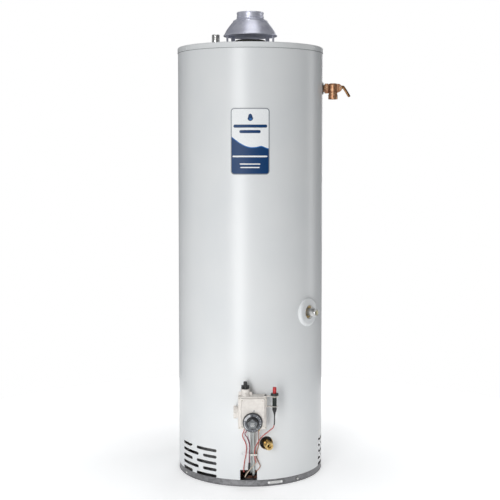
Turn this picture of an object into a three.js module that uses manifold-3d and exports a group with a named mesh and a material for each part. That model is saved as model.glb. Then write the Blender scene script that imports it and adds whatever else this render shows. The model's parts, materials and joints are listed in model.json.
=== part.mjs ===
// A free-standing tank water heater, gas fired, with a draft hood on its flue.
// Units are millimetres and +Z is up. The origin is on the floor, on the tank's axis.
// The front, with the gas control, faces -Y. The relief valve is on the +X side.
import * as THREE from 'three';
import { mergeVertices } from 'three/addons/utils/BufferGeometryUtils.js';
import Module from 'manifold-3d';

const wasm = await Module();
wasm.setup();

// Driving dimensions.
const GAP = 0.3; // clearance kept between touching pieces
const RING_SIDES = 40; // sides of every large round shell
const JACKET_R = 254; // outer radius of the jacket
const JACKET_WALL = 1.2;
const JACKET_TOP = 1486; // height of the lid's upper face
const FOOT_TOP = 123; // the slotted foot of the jacket ends here
const LID_SKIRT = 18;
const LID_WALL = 1;
const BASE_BAND = 23; // height of the base pan's rim
const TANK_R = 203;
const TANK_WALL = 3;
const TANK_BOTTOM = 120;
const TANK_TOP = 1405; // where the top head starts
const HEAD_RISE = 40;
const FLUE_R = 52.5;
const FLUE_WALL = 3;
const FLUE_TOP = JACKET_TOP + 24;
const NIPPLE_R = 13.5; // 3/4 inch pipe
const NIPPLE_BORE = 9.5;
const NIPPLE_STICK_OUT = 37;
const COLD_PLACE = [-118, -105];
const HOT_PLACE = [20, 150];
const ANODE_PLACE = [100, -110];
const ANODE_R = 10.5;
const DRAIN_ANGLE = 12.3; // degrees from the front towards +X
const DRAIN_HEIGHT = 149;
const DRAIN_HOLE_R = 22.5;
const SIDE_ANGLE = 50.6;
const SIDE_HEIGHT = 579;
const RELIEF_HEIGHT = 1347;
const VALVE_X = [-40.4, 53.3];
const VALVE_Z = [210.5, 320];
const VALVE_BACK = -264;
const VALVE_FRONT = -308;
const COVER_FRONT = -316;
const SPUD_PLACE = [6.5, 268]; // x and z of the shank that screws into the tank
const SPUD_R = 14;
const DIAL_PLACE = [7.3, 236.5];
const DIAL_R = 33;
const COCK_PLACE = [-16.5, -289]; // x and y of the gas cock's upright axis
const COCK_TOP = 342;
const IGNITER_PLACE = [80, -300]; // x and y of the push igniter's upright axis
const BURNER_R = 80;
const OPENING_X = [-34, 23]; // burner access opening in the jacket
const OPENING_TOP = 58;
const SLOT_ROWS = [28, 49, 71, 93, 115]; // heights of the air slots
const SLOT_HEIGHT = 8;
const SLOT_GROUP_TURNS = [0, 135, 270]; // the same group of slots, round the jacket

const heater = new THREE.Group();

function addPart(name, geometry, color, roughness, metalness) {
  const material = new THREE.MeshStandardMaterial({ color, roughness, metalness });
  const mesh = new THREE.Mesh(geometry, material);
  mesh.name = name;
  heater.add(mesh);
}

const WHITE_PAINT = [0xdde0e2, 0.4, 0.1];
const GALVANISED = [0xa6a8b4, 0.3, 0.9];
const DARK_STEEL = [0x6c6e70, 0.5, 0.8];
const BLACK_STEEL = [0x1d1d1f, 0.6, 0.5];
const BRASS = [0xb08d4a, 0.35, 0.9];
const BRONZE = [0x7a5238, 0.45, 0.8];
const GREY_PLASTIC = [0xd9d4cd, 0.5, 0];
const BLACK_PLASTIC = [0x1c1d20, 0.4, 0];
const ALUMINIUM = [0xb9c2c2, 0.35, 0.9];

// Booleans.
function toSolid(geometry) {
  const bare = geometry.clone();
  bare.deleteAttribute('normal');
  bare.deleteAttribute('uv');
  const merged = mergeVertices(bare, 1e-4);
  const mesh = new wasm.Mesh({
    numProp: 3,
    vertProperties: new Float32Array(merged.attributes.position.array),
    triVerts: new Uint32Array(merged.index.array),
  });
  return new wasm.Manifold(mesh);
}

function toGeometry(solid) {
  const mesh = solid.getMesh();
  const geometry = new THREE.BufferGeometry();
  geometry.setAttribute('position', new THREE.BufferAttribute(mesh.vertProperties, 3));
  geometry.setIndex(new THREE.BufferAttribute(mesh.triVerts, 1));
  return geometry;
}

function cut(geometry, ...tools) {
  let solid = toSolid(geometry);
  for (const tool of tools) solid = solid.subtract(toSolid(tool));
  return toGeometry(solid);
}

function join(geometry, ...others) {
  let solid = toSolid(geometry);
  for (const other of others) solid = solid.add(toSolid(other));
  return toGeometry(solid);
}

function common(geometry, other) {
  return toGeometry(toSolid(geometry).intersect(toSolid(other)));
}

// Shapes. A turned piece's profile is a list of [radius, height].
function turned(profile, sides = 20) {
  const points = profile.map(([radius, height]) => new THREE.Vector2(radius, height));
  if (profile[0][0] > 0 || profile.at(-1)[0] > 0) points.push(points[0].clone());
  return new THREE.LatheGeometry(points, sides).rotateX(Math.PI / 2);
}

function ring(inner, outer, low, high, sides = 20) {
  return turned([[inner, low], [outer, low], [outer, high], [inner, high]], sides);
}

function disc(radius, low, high, sides = 20) {
  return turned([[0, low], [radius, low], [radius, high], [0, high]], sides);
}

function block(xRange, yRange, zRange) {
  const [width, depth, height] = [xRange, yRange, zRange].map(([low, high]) => Math.abs(high - low));
  const [x, y, z] = [xRange, yRange, zRange].map(([low, high]) => (low + high) / 2);
  return new THREE.BoxGeometry(width, depth, height).translate(x, y, z);
}

function roundedOutline([left, right], [low, high], corner) {
  const shape = new THREE.Shape();
  shape.moveTo(left + corner, low);
  shape.lineTo(right - corner, low);
  shape.absarc(right - corner, low + corner, corner, -Math.PI / 2, 0);
  shape.absarc(right - corner, high - corner, corner, 0, Math.PI / 2);
  shape.absarc(left + corner, high - corner, corner, Math.PI / 2, Math.PI);
  shape.absarc(left + corner, low + corner, corner, Math.PI, Math.PI * 1.5);
  return shape;
}

// A plate lying flat, from low to high.
function flatPlate(xRange, yRange, corner, low, high) {
  const settings = { depth: high - low, bevelEnabled: false, curveSegments: 4 };
  const shape = roundedOutline(xRange, yRange, corner);
  return new THREE.ExtrudeGeometry(shape, settings).translate(0, 0, low);
}

// A plate seen from the front, from yBack towards the front.
function frontPlate(xRange, zRange, corner, yBack, yFront) {
  return flatPlate(xRange, zRange, corner, 0, yBack - yFront).rotateX(Math.PI / 2).translate(0, yBack, 0);
}

// Turns an upright piece so that its +Z points out of the jacket at an angle from the front.
function pointOut(geometry, angle, height) {
  return geometry.rotateX(Math.PI / 2).rotateZ(THREE.MathUtils.degToRad(angle)).translate(0, 0, height);
}

// A bent tube through a list of [x, y, z] points.
function tube(points, radius, sides, steps) {
  const curve = new THREE.CatmullRomCurve3(points.map((point) => new THREE.Vector3(...point)));
  const section = new THREE.Shape();
  for (let side = 0; side < sides; side += 1) {
    const turn = (side / sides) * Math.PI * 2;
    const spot = [radius * Math.cos(turn), radius * Math.sin(turn)];
    if (side === 0) section.moveTo(...spot);
    else section.lineTo(...spot);
  }
  return new THREE.ExtrudeGeometry(section, { steps, extrudePath: curve, bevelEnabled: false });
}

// An upright hexagonal bar.
function hexBar(acrossFlats, low, high) {
  return disc(acrossFlats / 2 / Math.cos(Math.PI / 6), low, high, 6);
}

// Points on a dished head, from the flue out to the tank's wall.
function headCurve(inner, outer, rimHeight, rise, count = 3) {
  const points = [];
  for (let index = 0; index <= count; index += 1) {
    const turn = (index / count) * (Math.PI / 2);
    const radius = inner + (outer - inner) * Math.sin(turn);
    points.push([radius, rimHeight + rise * Math.cos(turn)]);
  }
  return points;
}

const coldHole = (radius) => disc(radius, 1300, 1600).translate(...COLD_PLACE, 0);
const hotHole = (radius) => disc(radius, 1300, 1600).translate(...HOT_PLACE, 0);
const anodeHole = (radius) => disc(radius, 1300, 1600).translate(...ANODE_PLACE, 0);
const drainHole = (radius) => pointOut(disc(radius, 150, 300), DRAIN_ANGLE, DRAIN_HEIGHT);
const sideHole = (radius) => pointOut(disc(radius, 150, 300), SIDE_ANGLE, SIDE_HEIGHT);
const reliefHole = (radius) => pointOut(disc(radius, 150, 300), 90, RELIEF_HEIGHT);
const spudHole = (radius) => pointOut(disc(radius, 150, 300), 0, SPUD_PLACE[1]).translate(SPUD_PLACE[0], 0, 0);

// Base pan: a pressed disc with an upstanding rim that stands on the floor.
function makeBasePan() {
  const profile = [
    [0, 0], [JACKET_R - 1.5, 0], [JACKET_R, 1.5], [JACKET_R, BASE_BAND],
    [JACKET_R - 2, BASE_BAND], [JACKET_R - 2, 3], [0, 3],
  ];
  addPart('base_pan', turned(profile, RING_SIDES), ...DARK_STEEL);
}

// One group of air slots: two short rows of a long and a shorter slot, in turn.
function slotCutters(turn) {
  const shortRow = [[-65.6, -51.5], [-46.3, -26.7]];
  const longRow = [[-65.6, -44.2], [-39.5, -26.7]];
  const cutters = [];
  SLOT_ROWS.forEach((height, row) => {
    for (const [start, end] of row % 2 ? longRow : shortRow) {
      const shape = new THREE.Shape();
      const [from, to] = [start + turn - 90, end + turn - 90].map(THREE.MathUtils.degToRad);
      shape.absarc(0, 0, JACKET_R + 6, from, to, false);
      shape.absarc(0, 0, JACKET_R - 8, to, from, true);
      const settings = { depth: SLOT_HEIGHT, bevelEnabled: false, curveSegments: 1 };
      cutters.push(new THREE.ExtrudeGeometry(shape, settings).translate(0, 0, height - SLOT_HEIGHT / 2));
    }
  });
  return cutters;
}

// Jacket: one rolled painted sheet, open at both ends.
function makeJacket() {
  const low = BASE_BAND + GAP;
  const shell = ring(JACKET_R - JACKET_WALL, JACKET_R, low, JACKET_TOP - LID_WALL - GAP, RING_SIDES);
  const opening = block(OPENING_X, [-280, -230], [0, OPENING_TOP]);
  const slots = SLOT_GROUP_TURNS.flatMap(slotCutters);
  const holes = [drainHole(DRAIN_HOLE_R), sideHole(23.5), reliefHole(20), spudHole(20)];
  const drum = cut(shell, opening, ...holes, ...slots);
  const wide = JACKET_R + 10;
  addPart('jacket', cut(drum, disc(wide, 0, FOOT_TOP)), ...WHITE_PAINT);
  addPart('jacket_foot', common(drum, disc(wide, 0, FOOT_TOP - GAP)), ...WHITE_PAINT);
}

function makeLid() {
  const outer = JACKET_R + GAP + LID_WALL;
  const low = JACKET_TOP - LID_SKIRT;
  const hole = FLUE_R + 0.7;
  const profile = [
    [hole, JACKET_TOP - LID_WALL], [outer - LID_WALL, JACKET_TOP - LID_WALL], [outer - LID_WALL, low],
    [outer, low], [outer, JACKET_TOP - 1.2], [outer - 1.2, JACKET_TOP], [hole, JACKET_TOP],
  ];
  const holes = [coldHole(14.5), hotHole(14.5), anodeHole(19)];
  addPart('jacket_lid', cut(turned(profile, RING_SIDES), ...holes), ...WHITE_PAINT);
}

// Foam between the tank and the jacket, over the top head too.
function makeInsulation() {
  const outer = JACKET_R - JACKET_WALL - 0.4;
  const inner = TANK_R + 0.4;
  const top = JACKET_TOP - LID_WALL - 0.4;
  const flueClearance = FLUE_R + 0.6;
  const profile = [
    [inner, TANK_BOTTOM + 1], [outer, TANK_BOTTOM + 1], [outer, top], [flueClearance, top],
    ...headCurve(flueClearance, inner, TANK_TOP + 0.5, HEAD_RISE),
  ];
  const holes = [
    coldHole(14.2), hotHole(14.2), anodeHole(18.5), drainHole(DRAIN_HOLE_R), sideHole(14.2), reliefHole(13.2),
    spudHole(14.6),
  ];
  addPart('insulation_foam', cut(turned(profile, RING_SIDES), ...holes), 0xe6c88c, 0.9, 0);
}

function makeTank() {
  const shell = ring(TANK_R - TANK_WALL, TANK_R, TANK_BOTTOM, TANK_TOP - GAP, RING_SIDES);
  const fittings = [drainHole(11), sideHole(13.9), reliefHole(12.9), spudHole(14.4)];
  addPart('tank_shell', cut(shell, ...fittings), ...BLACK_STEEL);

  const flueHole = FLUE_R + GAP;
  const topHead = turned([
    ...headCurve(flueHole, TANK_R - TANK_WALL, TANK_TOP, HEAD_RISE - TANK_WALL),
    ...headCurve(flueHole, TANK_R, TANK_TOP, HEAD_RISE).reverse(),
  ]);
  const topHoles = [coldHole(13.9), hotHole(13.9), anodeHole(13.9)];
  addPart('tank_top_head', cut(topHead, ...topHoles), ...BLACK_STEEL);

  const rim = TANK_R - TANK_WALL - GAP;
  const bottomHead = turned([
    ...headCurve(flueHole, rim - TANK_WALL, TANK_BOTTOM + 5, HEAD_RISE - TANK_WALL),
    [rim - TANK_WALL, TANK_BOTTOM + 2],
    [rim, TANK_BOTTOM + 2],
    ...headCurve(flueHole, rim, TANK_BOTTOM + 5, HEAD_RISE).reverse(),
  ]);
  addPart('tank_bottom_head', bottomHead, ...BLACK_STEEL);
}

// Flue: a tube up the middle, with a folded strip hung in it to slow the hot gas.
function makeFlue() {
  const low = TANK_BOTTOM + 30;
  addPart('flue_tube', ring(FLUE_R - FLUE_WALL, FLUE_R, low, FLUE_TOP), ...BLACK_STEEL);
  const folds = 18;
  const reach = 28;
  const width = 72;
  const wall = 3;
  const [stripLow, stripHigh] = [220, FLUE_TOP - 30];
  const spots = [];
  for (let fold = 0; fold <= folds; fold += 1) {
    spots.push([fold % 2 ? reach : -reach, stripLow + ((stripHigh - stripLow) * fold) / folds]);
  }
  const outline = [...spots, ...spots.map(([x, z]) => [x + wall, z]).reverse()];
  const shape = new THREE.Shape(outline.map(([x, z]) => new THREE.Vector2(x, z)));
  const strip = new THREE.ExtrudeGeometry(shape, { depth: width, bevelEnabled: false });
  addPart('flue_baffle', strip.rotateX(Math.PI / 2).translate(0, width / 2, 0), ...DARK_STEEL);
}

// Pipe nipples through the lid, the dip tube in the cold one and the anode rod.
function makeTopFittings() {
  const low = TANK_TOP + 20;
  const high = JACKET_TOP + NIPPLE_STICK_OUT;
  const cold = ring(NIPPLE_BORE, NIPPLE_R, low, high).translate(...COLD_PLACE, 0);
  const hot = ring(NIPPLE_BORE, NIPPLE_R, low, high).translate(...HOT_PLACE, 0);
  addPart('cold_inlet_nipple', cold, ...ALUMINIUM);
  addPart('hot_outlet_nipple', hot, ...ALUMINIUM);
  const liner = NIPPLE_BORE - 0.5;
  const dipTube = ring(liner - 1.5, liner, 300, high - 10, 20).translate(...COLD_PLACE, 0);
  addPart('dip_tube', dipTube, 0xe8e2c8, 0.5, 0);
  const trap = ring(liner - 1.5, liner, low, high - 4, 20).translate(...HOT_PLACE, 0);
  addPart('hot_nipple_liner', trap, 0xe8e2c8, 0.5, 0);
  const plug = hexBar(27, JACKET_TOP - 12, JACKET_TOP + 6);
  const shank = disc(NIPPLE_R, low, JACKET_TOP - 10);
  const rod = disc(ANODE_R, 400, low + 2, 20);
  addPart('anode_rod', join(plug, shank, rod).translate(...ANODE_PLACE, 0), ...ALUMINIUM);
}

// Combustion chamber under the tank: skirt, inner door and the burner.
function makeBurner() {
  const skirt = ring(TANK_R - TANK_WALL, TANK_R, 3 + GAP, TANK_BOTTOM - GAP, RING_SIDES);
  const access = block([-50, 50], [-230, -150], [20, 100]);
  addPart('combustion_skirt', cut(skirt, access), ...BLACK_STEEL);
  const doorBand = ring(TANK_R + 1, TANK_R + 2.5, 10, 110, RING_SIDES);
  const door = common(doorBand, block([-64, 64], [-230, -150], [14, 106]));
  const tubeSlot = block([-26, 27], [-230, -150], [24, 54]);
  addPart('inner_door', cut(door, tubeSlot), ...BLACK_STEEL);

  const body = [
    [0, 38], [30, 38], [BURNER_R, 48], [BURNER_R, 52], [BURNER_R - 4, 52], [BURNER_R - 6, 50],
    [28, 41], [0, 41],
  ];
  addPart('burner_body', turned(body, 24), ...DARK_STEEL);
  const cap = [
    [0, 63], [33, 61], [BURNER_R - 4, 52.4], [BURNER_R, 52.4], [BURNER_R, 56], [35, 64], [0, 66],
  ];
  addPart('burner_cap', turned(cap, 24), ...DARK_STEEL);
  addPart('burner_orifice_holder', hexBar(22, 22, 37.7), ...BRASS);

  const pilot = join(
    block([0, 28], [-98, -83], [44, 56]),
    disc(4, 55, 70, 16).translate(14, -90, 0),
  );
  addPart('pilot_burner', pilot, ...BRASS);
  const cutoff = pointOut(disc(9, TANK_R + 5.6, TANK_R + 10), -3.4, 62);
  addPart('thermal_cutoff', cutoff, ...BLACK_PLASTIC);
}

// Curved cover on the jacket above the access opening.
function makeOuterCover() {
  const band = ring(JACKET_R + GAP, JACKET_R + 1.8, 20, 140, RING_SIDES);
  const outline = frontPlate([OPENING_X[0] + 1, OPENING_X[1]], [OPENING_TOP, 118], 1.5, -200, -300);
  addPart('outer_cover', common(band, outline), ...WHITE_PAINT);
}

// Gas tubes and leads, from the control down into the access opening.
function makeTubesAndLeads() {
  const valveLow = VALVE_Z[0] - GAP;
  const mainRoute = [
    [10.5, -285, valveLow], [10.5, -285, 200], [10.5, -270, 168], [10.5, -263, 140], [10.5, -263, 80],
    [10.5, -262, 62], [10.5, -254, 46], [10.5, -236, 37], [10.5, -190, 32], [8, -100, 30],
    [0, -40, 30], [0, -13.2, 30],
  ];
  addPart('main_gas_tube', tube(mainRoute, 4.8, 8, 28), ...ALUMINIUM);
  const pilotRoute = [
    [1.5, -285, valveLow], [1.5, -285, 200], [2, -268, 168], [3.2, -260.5, 145], [3.2, -260, 125], [3.2, -260, 100],
    [3.2, -259.8, 64], [3, -258.2, 55.5], [2, -250, 48], [0, -234, 46], [0, -195, 46],
    [8, -140, 48], [14, -112, 50], [14, -98.7, 50],
  ];
  addPart('pilot_gas_tube', tube(pilotRoute, 2.2, 6, 26), ...ALUMINIUM);
  const thermocoupleRoute = [
    [28, -285, valveLow], [28, -285, 200], [28, -272, 178], [27.5, -262, 160], [27, -261, 143],
    [22.5, -260.5, 126], [20, -260.5, 108], [28, -260.5, 85], [33, -260.5, 74], [28, -260.5, 64],
    [19, -258.8, 55], [18, -248, 48], [19, -225, 46], [21, -160, 47], [22, -112, 50], [22, -98.7, 50],
  ];
  addPart('thermocouple', tube(thermocoupleRoute, 1.5, 6, 32), 0x8a5a44, 0.4, 0.8);
  const igniterRoute = [
    [80, -300, 257.6], [80, -299, 236], [79, -292, 222], [76, -284, 211], [64, -273, 197],
    [39, -269, 175], [23, -270, 152], [14, -270.4, 125], [15.5, -270.4, 106], [19, -270, 88],
    [0, -269, 65], [-12, -262, 48], [-18, -250, 33], [-16, -215, 30], [-8, -150, 44],
    [5, -112, 50], [5, -98.7, 50],
  ];
  addPart('igniter_lead', tube(igniterRoute, 1.5, 6, 36), 0xb8a48e, 0.5, 0);
  const leftRoute = [
    [-20, -290, valveLow], [-20.5, -289, 202], [-26, -268, 179], [-14, -260.5, 145],
    [-14.5, -260.5, 115], [-19, -260.5, 90], [-22, -261, 66], [-22, -258.5, 56], [-21, -248, 50],
    [-18, -230, 52], [-16, -222, 60], [-16, -213.6, 60],
  ];
  addPart('cutoff_lead_left', tube(leftRoute, 1.4, 6, 24), 0x8c4a3a, 0.5, 0);
  const rightRoute = [
    [-12, -290, valveLow], [-12.5, -289, 202], [-18, -274, 186], [-10, -264, 170], [-2.5, -260.5, 143],
    [-3.4, -260.5, 115], [-3.4, -260.5, 92], [-4.5, -261, 70], [-5, -258.5, 56], [-6, -248, 50],
    [-7, -232, 52], [-8, -222, 60], [-8, -213.6, 60],
  ];
  addPart('cutoff_lead_right', tube(rightRoute, 1.4, 6, 24), 0x6e2436, 0.5, 0);
  const tie = cut(
    flatPlate([-1, 23.5], [-273.6, -256.2], 3, 112, 118),
    flatPlate([-0.1, 22.6], [-272.7, -257.1], 1, 110, 120),
  );
  addPart('cable_tie', tie, 0xe9e6dc, 0.5, 0);
}

// Gas control with its thermostat dial, gas cock and pilot button.
function makeGasControl() {
  const main = frontPlate(VALVE_X, VALVE_Z, 5, VALVE_BACK, VALVE_FRONT);
  const spud = pointOut(disc(SPUD_R, TANK_R - 4, 266), 0, SPUD_PLACE[1]).translate(SPUD_PLACE[0], 0, 0);
  const boss = disc(14.2, VALVE_Z[1] - 2, COCK_TOP).translate(...COCK_PLACE, 0);
  const gussets = [[-39, 6], [-20, -13]].map((range) => block(range, [-291, -287], [VALVE_Z[1] - 1, 332]));
  addPart('gas_valve_body', join(main, spud, boss, ...gussets), ...GREY_PLASTIC);
  const cover = frontPlate([-33, 47], [216, 314], 4, VALVE_FRONT - GAP, COVER_FRONT);
  addPart('gas_valve_cover', cover, ...GREY_PLASTIC);

  const ribs = [0, 60, 120].map((turn) => block([-56, -46], [-2, 2], [-22, 22])
    .rotateX(THREE.MathUtils.degToRad(turn)));
  const collar = disc(19, VALVE_X[0] * -1 + GAP, 56, 28).rotateY(-Math.PI / 2);
  const inletBore = disc(8.8, 42, 60, 24).rotateY(-Math.PI / 2);
  const inlet = cut(join(collar, ...ribs), inletBore).translate(0, -285, 263.5);
  addPart('gas_inlet_adapter', inlet, ...GREY_PLASTIC);

  const rod = pointOut(disc(6, 76, TANK_R - 4 - GAP, 20), 0, SPUD_PLACE[1]);
  addPart('thermostat_probe', rod.translate(SPUD_PLACE[0], 0, 0), ...BRASS);
}

function makeDial() {
  const face = -COVER_FRONT + GAP;
  const skirt = [[0, face], [DIAL_R, face], [DIAL_R, face + 6], [DIAL_R - 3, face + 10], [0, face + 10]];
  const pointer = block([-1.5, 1.5], [DIAL_R - 12, DIAL_R - 4], [face + 9, face + 11]);
  const dial = pointOut(join(turned(skirt, 48), pointer), 0, DIAL_PLACE[1]).translate(DIAL_PLACE[0], 0, 0);
  addPart('temperature_dial', dial, ...BLACK_PLASTIC);
  const hubLow = face + 11 + GAP;
  const hub = cut(
    disc(18.5, hubLow, face + 33, 30),
    ...[0, 72, 144, 216, 288].map((turn) => disc(4, hubLow + 4, face + 40, 12)
      .translate(0, 19.5, 0).rotateZ(THREE.MathUtils.degToRad(turn))),
  );
  const placed = pointOut(hub, 0, DIAL_PLACE[1]).translate(DIAL_PLACE[0], 0, 0);
  addPart('dial_hub', placed, 0x74777c, 0.4, 0.2);
}

function makeGasCock() {
  addPart('gas_cock_knob', makeKnob(COCK_TOP + GAP).translate(...COCK_PLACE, 0), ...BLACK_PLASTIC);
  const stroke = 6;
  const button = disc(6.2, COCK_TOP + stroke + 2 * GAP, 366, 24).translate(...COCK_PLACE, 0);
  addPart('pilot_button', button, ...BLACK_PLASTIC);
}

// The knob: a round foot, two wings and a sleeve round the button.
function makeKnob(low) {
  const foot = disc(12.5, low, low + 5, 28);
  const wings = block([-13.5, 13.5], [-3.5, 3.5], [low, low + 12]);
  const sleeve = disc(8.6, low, low + 12, 24);
  return cut(join(foot, wings, sleeve), disc(6.6, low - 2, low + 20, 24));
}

// Push igniter on a bent bracket at the control's upper right corner.
function makeIgniter() {
  const shelf = VALVE_Z[1] + GAP;
  const wall = 1.5;
  const profile = [
    [0, 281], [7.3, 281], [7.3, shelf + wall + GAP], [13, shelf + wall + GAP], [13, 330],
    [6.7, 330], [6.7, 311], [0, 311],
  ];
  addPart('piezo_body', turned(profile, 24).translate(...IGNITER_PLACE, 0), ...BLACK_PLASTIC);
  const button = [[0, 318], [6.3, 318], [6.3, 349], [5.3, 350], [0, 350]];
  addPart('piezo_button', turned(button, 24).translate(...IGNITER_PLACE, 0), 0xa81d1d, 0.4, 0);
  const boot = [[0, 258], [2.4, 258], [7.3, 274], [7.3, 280.7], [0, 280.7]];
  addPart('piezo_boot', turned(boot, 20).translate(...IGNITER_PLACE, 0), ...BLACK_PLASTIC);
  const upright = VALVE_X[1] + GAP;
  const depth = [-308, -292];
  const bracket = cut(
    join(
      block([45, 95], depth, [shelf, shelf + wall]),
      block([upright, upright + wall], depth, [285, shelf + 1]),
      block([upright, 90], depth, [285, 285 + wall]),
    ),
    disc(7.6, 270, 330, 24).translate(...IGNITER_PLACE, 0),
  );
  addPart('piezo_bracket', bracket, ...GREY_PLASTIC);
}

function makeDrainValve() {
  const outward = (geometry) => pointOut(geometry, DRAIN_ANGLE, DRAIN_HEIGHT);
  const body = [
    [6, 197], [10.6, 197], [10.6, 258], [14, 259], [14, 270], [11, 271], [11, 286], [13.4, 287],
    [13.4, 299], [7, 299], [7, 284], [6, 282],
  ];
  const neck = outward(turned(body, 16));
  const stemBoss = disc(7, 0, 12.5, 20).rotateX(Math.PI / 2).translate(0, 0, 278);
  const stemHole = disc(4.8, 8, 16, 16).rotateX(Math.PI / 2).translate(0, 0, 278);
  const bore = outward(disc(5.6, 190, 310, 12));
  addPart('drain_valve_body', cut(join(neck, outward(stemBoss)), outward(stemHole), bore), ...BRASS);
  const stem = cut(
    join(disc(4.4, 8.4, 14, 16), disc(7, 12.8, 16.4, 20)),
    block([-8, 8], [-0.9, 0.9], [14.8, 18]),
  ).rotateX(Math.PI / 2).translate(0, 0, 278);
  addPart('drain_valve_stem', outward(stem), ...BRASS);
  const seal = outward(ring(11, DRAIN_HOLE_R - 0.4, 228, 236));
  addPart('drain_seal', seal, ...BLACK_PLASTIC);
}

// Temperature and pressure relief valve: its outlet points down, its lever hangs outside.
function makeReliefValve() {
  const along = (geometry) => geometry.rotateY(Math.PI / 2).translate(0, 0, RELIEF_HEIGHT);
  const shank = along(disc(12.5, TANK_R - 4, 264, 28));
  const nut = along(hexBar(34, 262, 275));
  const barrel = disc(16.5, 1308.6, 1365, 32).translate(291.5, 0, 0);
  const nose = along(disc(10, 300, 311.5)).translate(0, 0, 3);
  const ears = [-9, 9].map((y) => block([306, 324], [y - 1.5, y + 1.5], [1346, 1360]));
  const web = block([304, 309], [-10.5, 10.5], [1346, 1360]);
  const stemBore = along(disc(3.4, 300, 330, 20)).translate(0, 0, 3);
  const outlet = disc(10.5, 1300, 1334, 28).translate(291.5, 0, 0);
  const body = cut(join(shank, nut, barrel, nose, web, ...ears), stemBore, outlet);
  addPart('relief_valve_body', body, ...BRONZE);
  const stem = join(along(disc(3, 301, 323, 20)), along(disc(4.6, 322, 325, 20))).translate(0, 0, 3);
  addPart('relief_valve_stem', stem, ...BRASS);
  addPart('relief_valve_lever', makeLever(), ...BRONZE);
  const probe = along(disc(5, 92, TANK_R - 4 - GAP, 20));
  addPart('relief_valve_probe', probe, ...BRASS);
  const gasket = along(ring(13, 21, JACKET_R + 0.4, JACKET_R + 3.4, 28));
  addPart('relief_valve_gasket', gasket, ...BLACK_PLASTIC);
}

// A pressed lever with a fork at its pivot, drawn in the XZ plane and extruded along Y.
function makeLever() {
  const shape = new THREE.Shape();
  shape.moveTo(313, 1353);
  shape.lineTo(317, 1349);
  shape.lineTo(325.6, 1349);
  shape.lineTo(347, 1317.6);
  shape.lineTo(352, 1320.6);
  shape.lineTo(331, 1354);
  shape.quadraticCurveTo(324, 1359, 317, 1357);
  shape.lineTo(313, 1353);
  const width = 14;
  const settings = { depth: width, bevelEnabled: false, curveSegments: 5 };
  const plate = new THREE.ExtrudeGeometry(shape, settings).rotateX(Math.PI / 2).translate(0, width / 2, 0);
  const stemSlot = block([300, 327], [-5.2, 5.2], [1330, 1400]);
  return cut(plate, stemSlot);
}

function makeSideNipple() {
  const outward = (geometry) => pointOut(geometry, SIDE_ANGLE, SIDE_HEIGHT);
  addPart('side_nipple', outward(ring(NIPPLE_BORE, NIPPLE_R, TANK_R - 4, 292)), ...ALUMINIUM);
  const liner = ring(NIPPLE_BORE - 2, NIPPLE_BORE - 0.4, TANK_R - 3, 291, 20);
  addPart('side_nipple_liner', outward(liner), 0xe3d9a8, 0.5, 0);
  const hole = 23.5;
  const profile = [[hole, 240], [49, 240], [49, 256], [44, 261], [hole + 4, 263], [hole, 263]];
  const jacketFill = disc(JACKET_R + GAP, 500, 660, RING_SIDES);
  addPart('side_escutcheon', cut(outward(turned(profile, 28)), jacketFill), ...WHITE_PAINT);
}

function makeBadge() {
  const band = ring(JACKET_R + GAP, JACKET_R + 1.2, 1000, 1300, RING_SIDES);
  const outline = frontPlate([-65, 64], [1049, 1268], 12, -200, -300);
  addPart('badge_plate', common(band, outline), 0x1a4374, 0.3, 0);
}

// Draft hood: a pressed bell with a round collar above it, on four strap legs.
function makeDraftHood() {
  const at = (height) => JACKET_TOP + height;
  const wall = 1.2;
  const outside = [[95, 43], [92, 47], [83, 59], [60.5, 87], [60.5, 97], [48.2, 104]];
  const inside = [[47, 102.9], [59.3, 96], [59.3, 87.4], [82, 60], [93.6, 44]];
  const bell = [...outside, [47, 104], ...inside].map(([radius, height]) => [radius, at(height)]);
  addPart('draft_hood_bell', turned(bell, 28), ...GALVANISED);
  const radius = 46.7;
  const collar = [
    [radius - wall, at(96)], [radius, at(96)], [radius, at(122)], [radius + 0.9, at(124)],
    [radius, at(126)], [radius - wall, at(126)],
  ];
  addPart('draft_hood_collar', turned(collar, 28), ...GALVANISED);
  [-134, -70, 70, 134].forEach((angle, index) => {
    const strap = block([-10, 10], [-85.6, -84.4], [at(GAP), at(50)]);
    const foot = block([-10, 10], [-85.6, -72], [at(GAP), at(GAP + wall)]);
    const leg = join(strap, foot).rotateZ(THREE.MathUtils.degToRad(angle));
    addPart(`draft_hood_leg_${index + 1}`, leg, ...GALVANISED);
  });
}

makeBasePan();
makeJacket();
makeLid();
makeInsulation();
makeTank();
makeFlue();
makeTopFittings();
makeBurner();
makeOuterCover();
makeTubesAndLeads();
makeGasControl();
makeDial();
makeGasCock();
makeIgniter();
makeDrainValve();
makeReliefValve();
makeSideNipple();
makeBadge();
makeDraftHood();

export default heater;
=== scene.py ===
import json
import math

import bmesh
import bpy
from mathutils import Matrix, Vector


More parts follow.
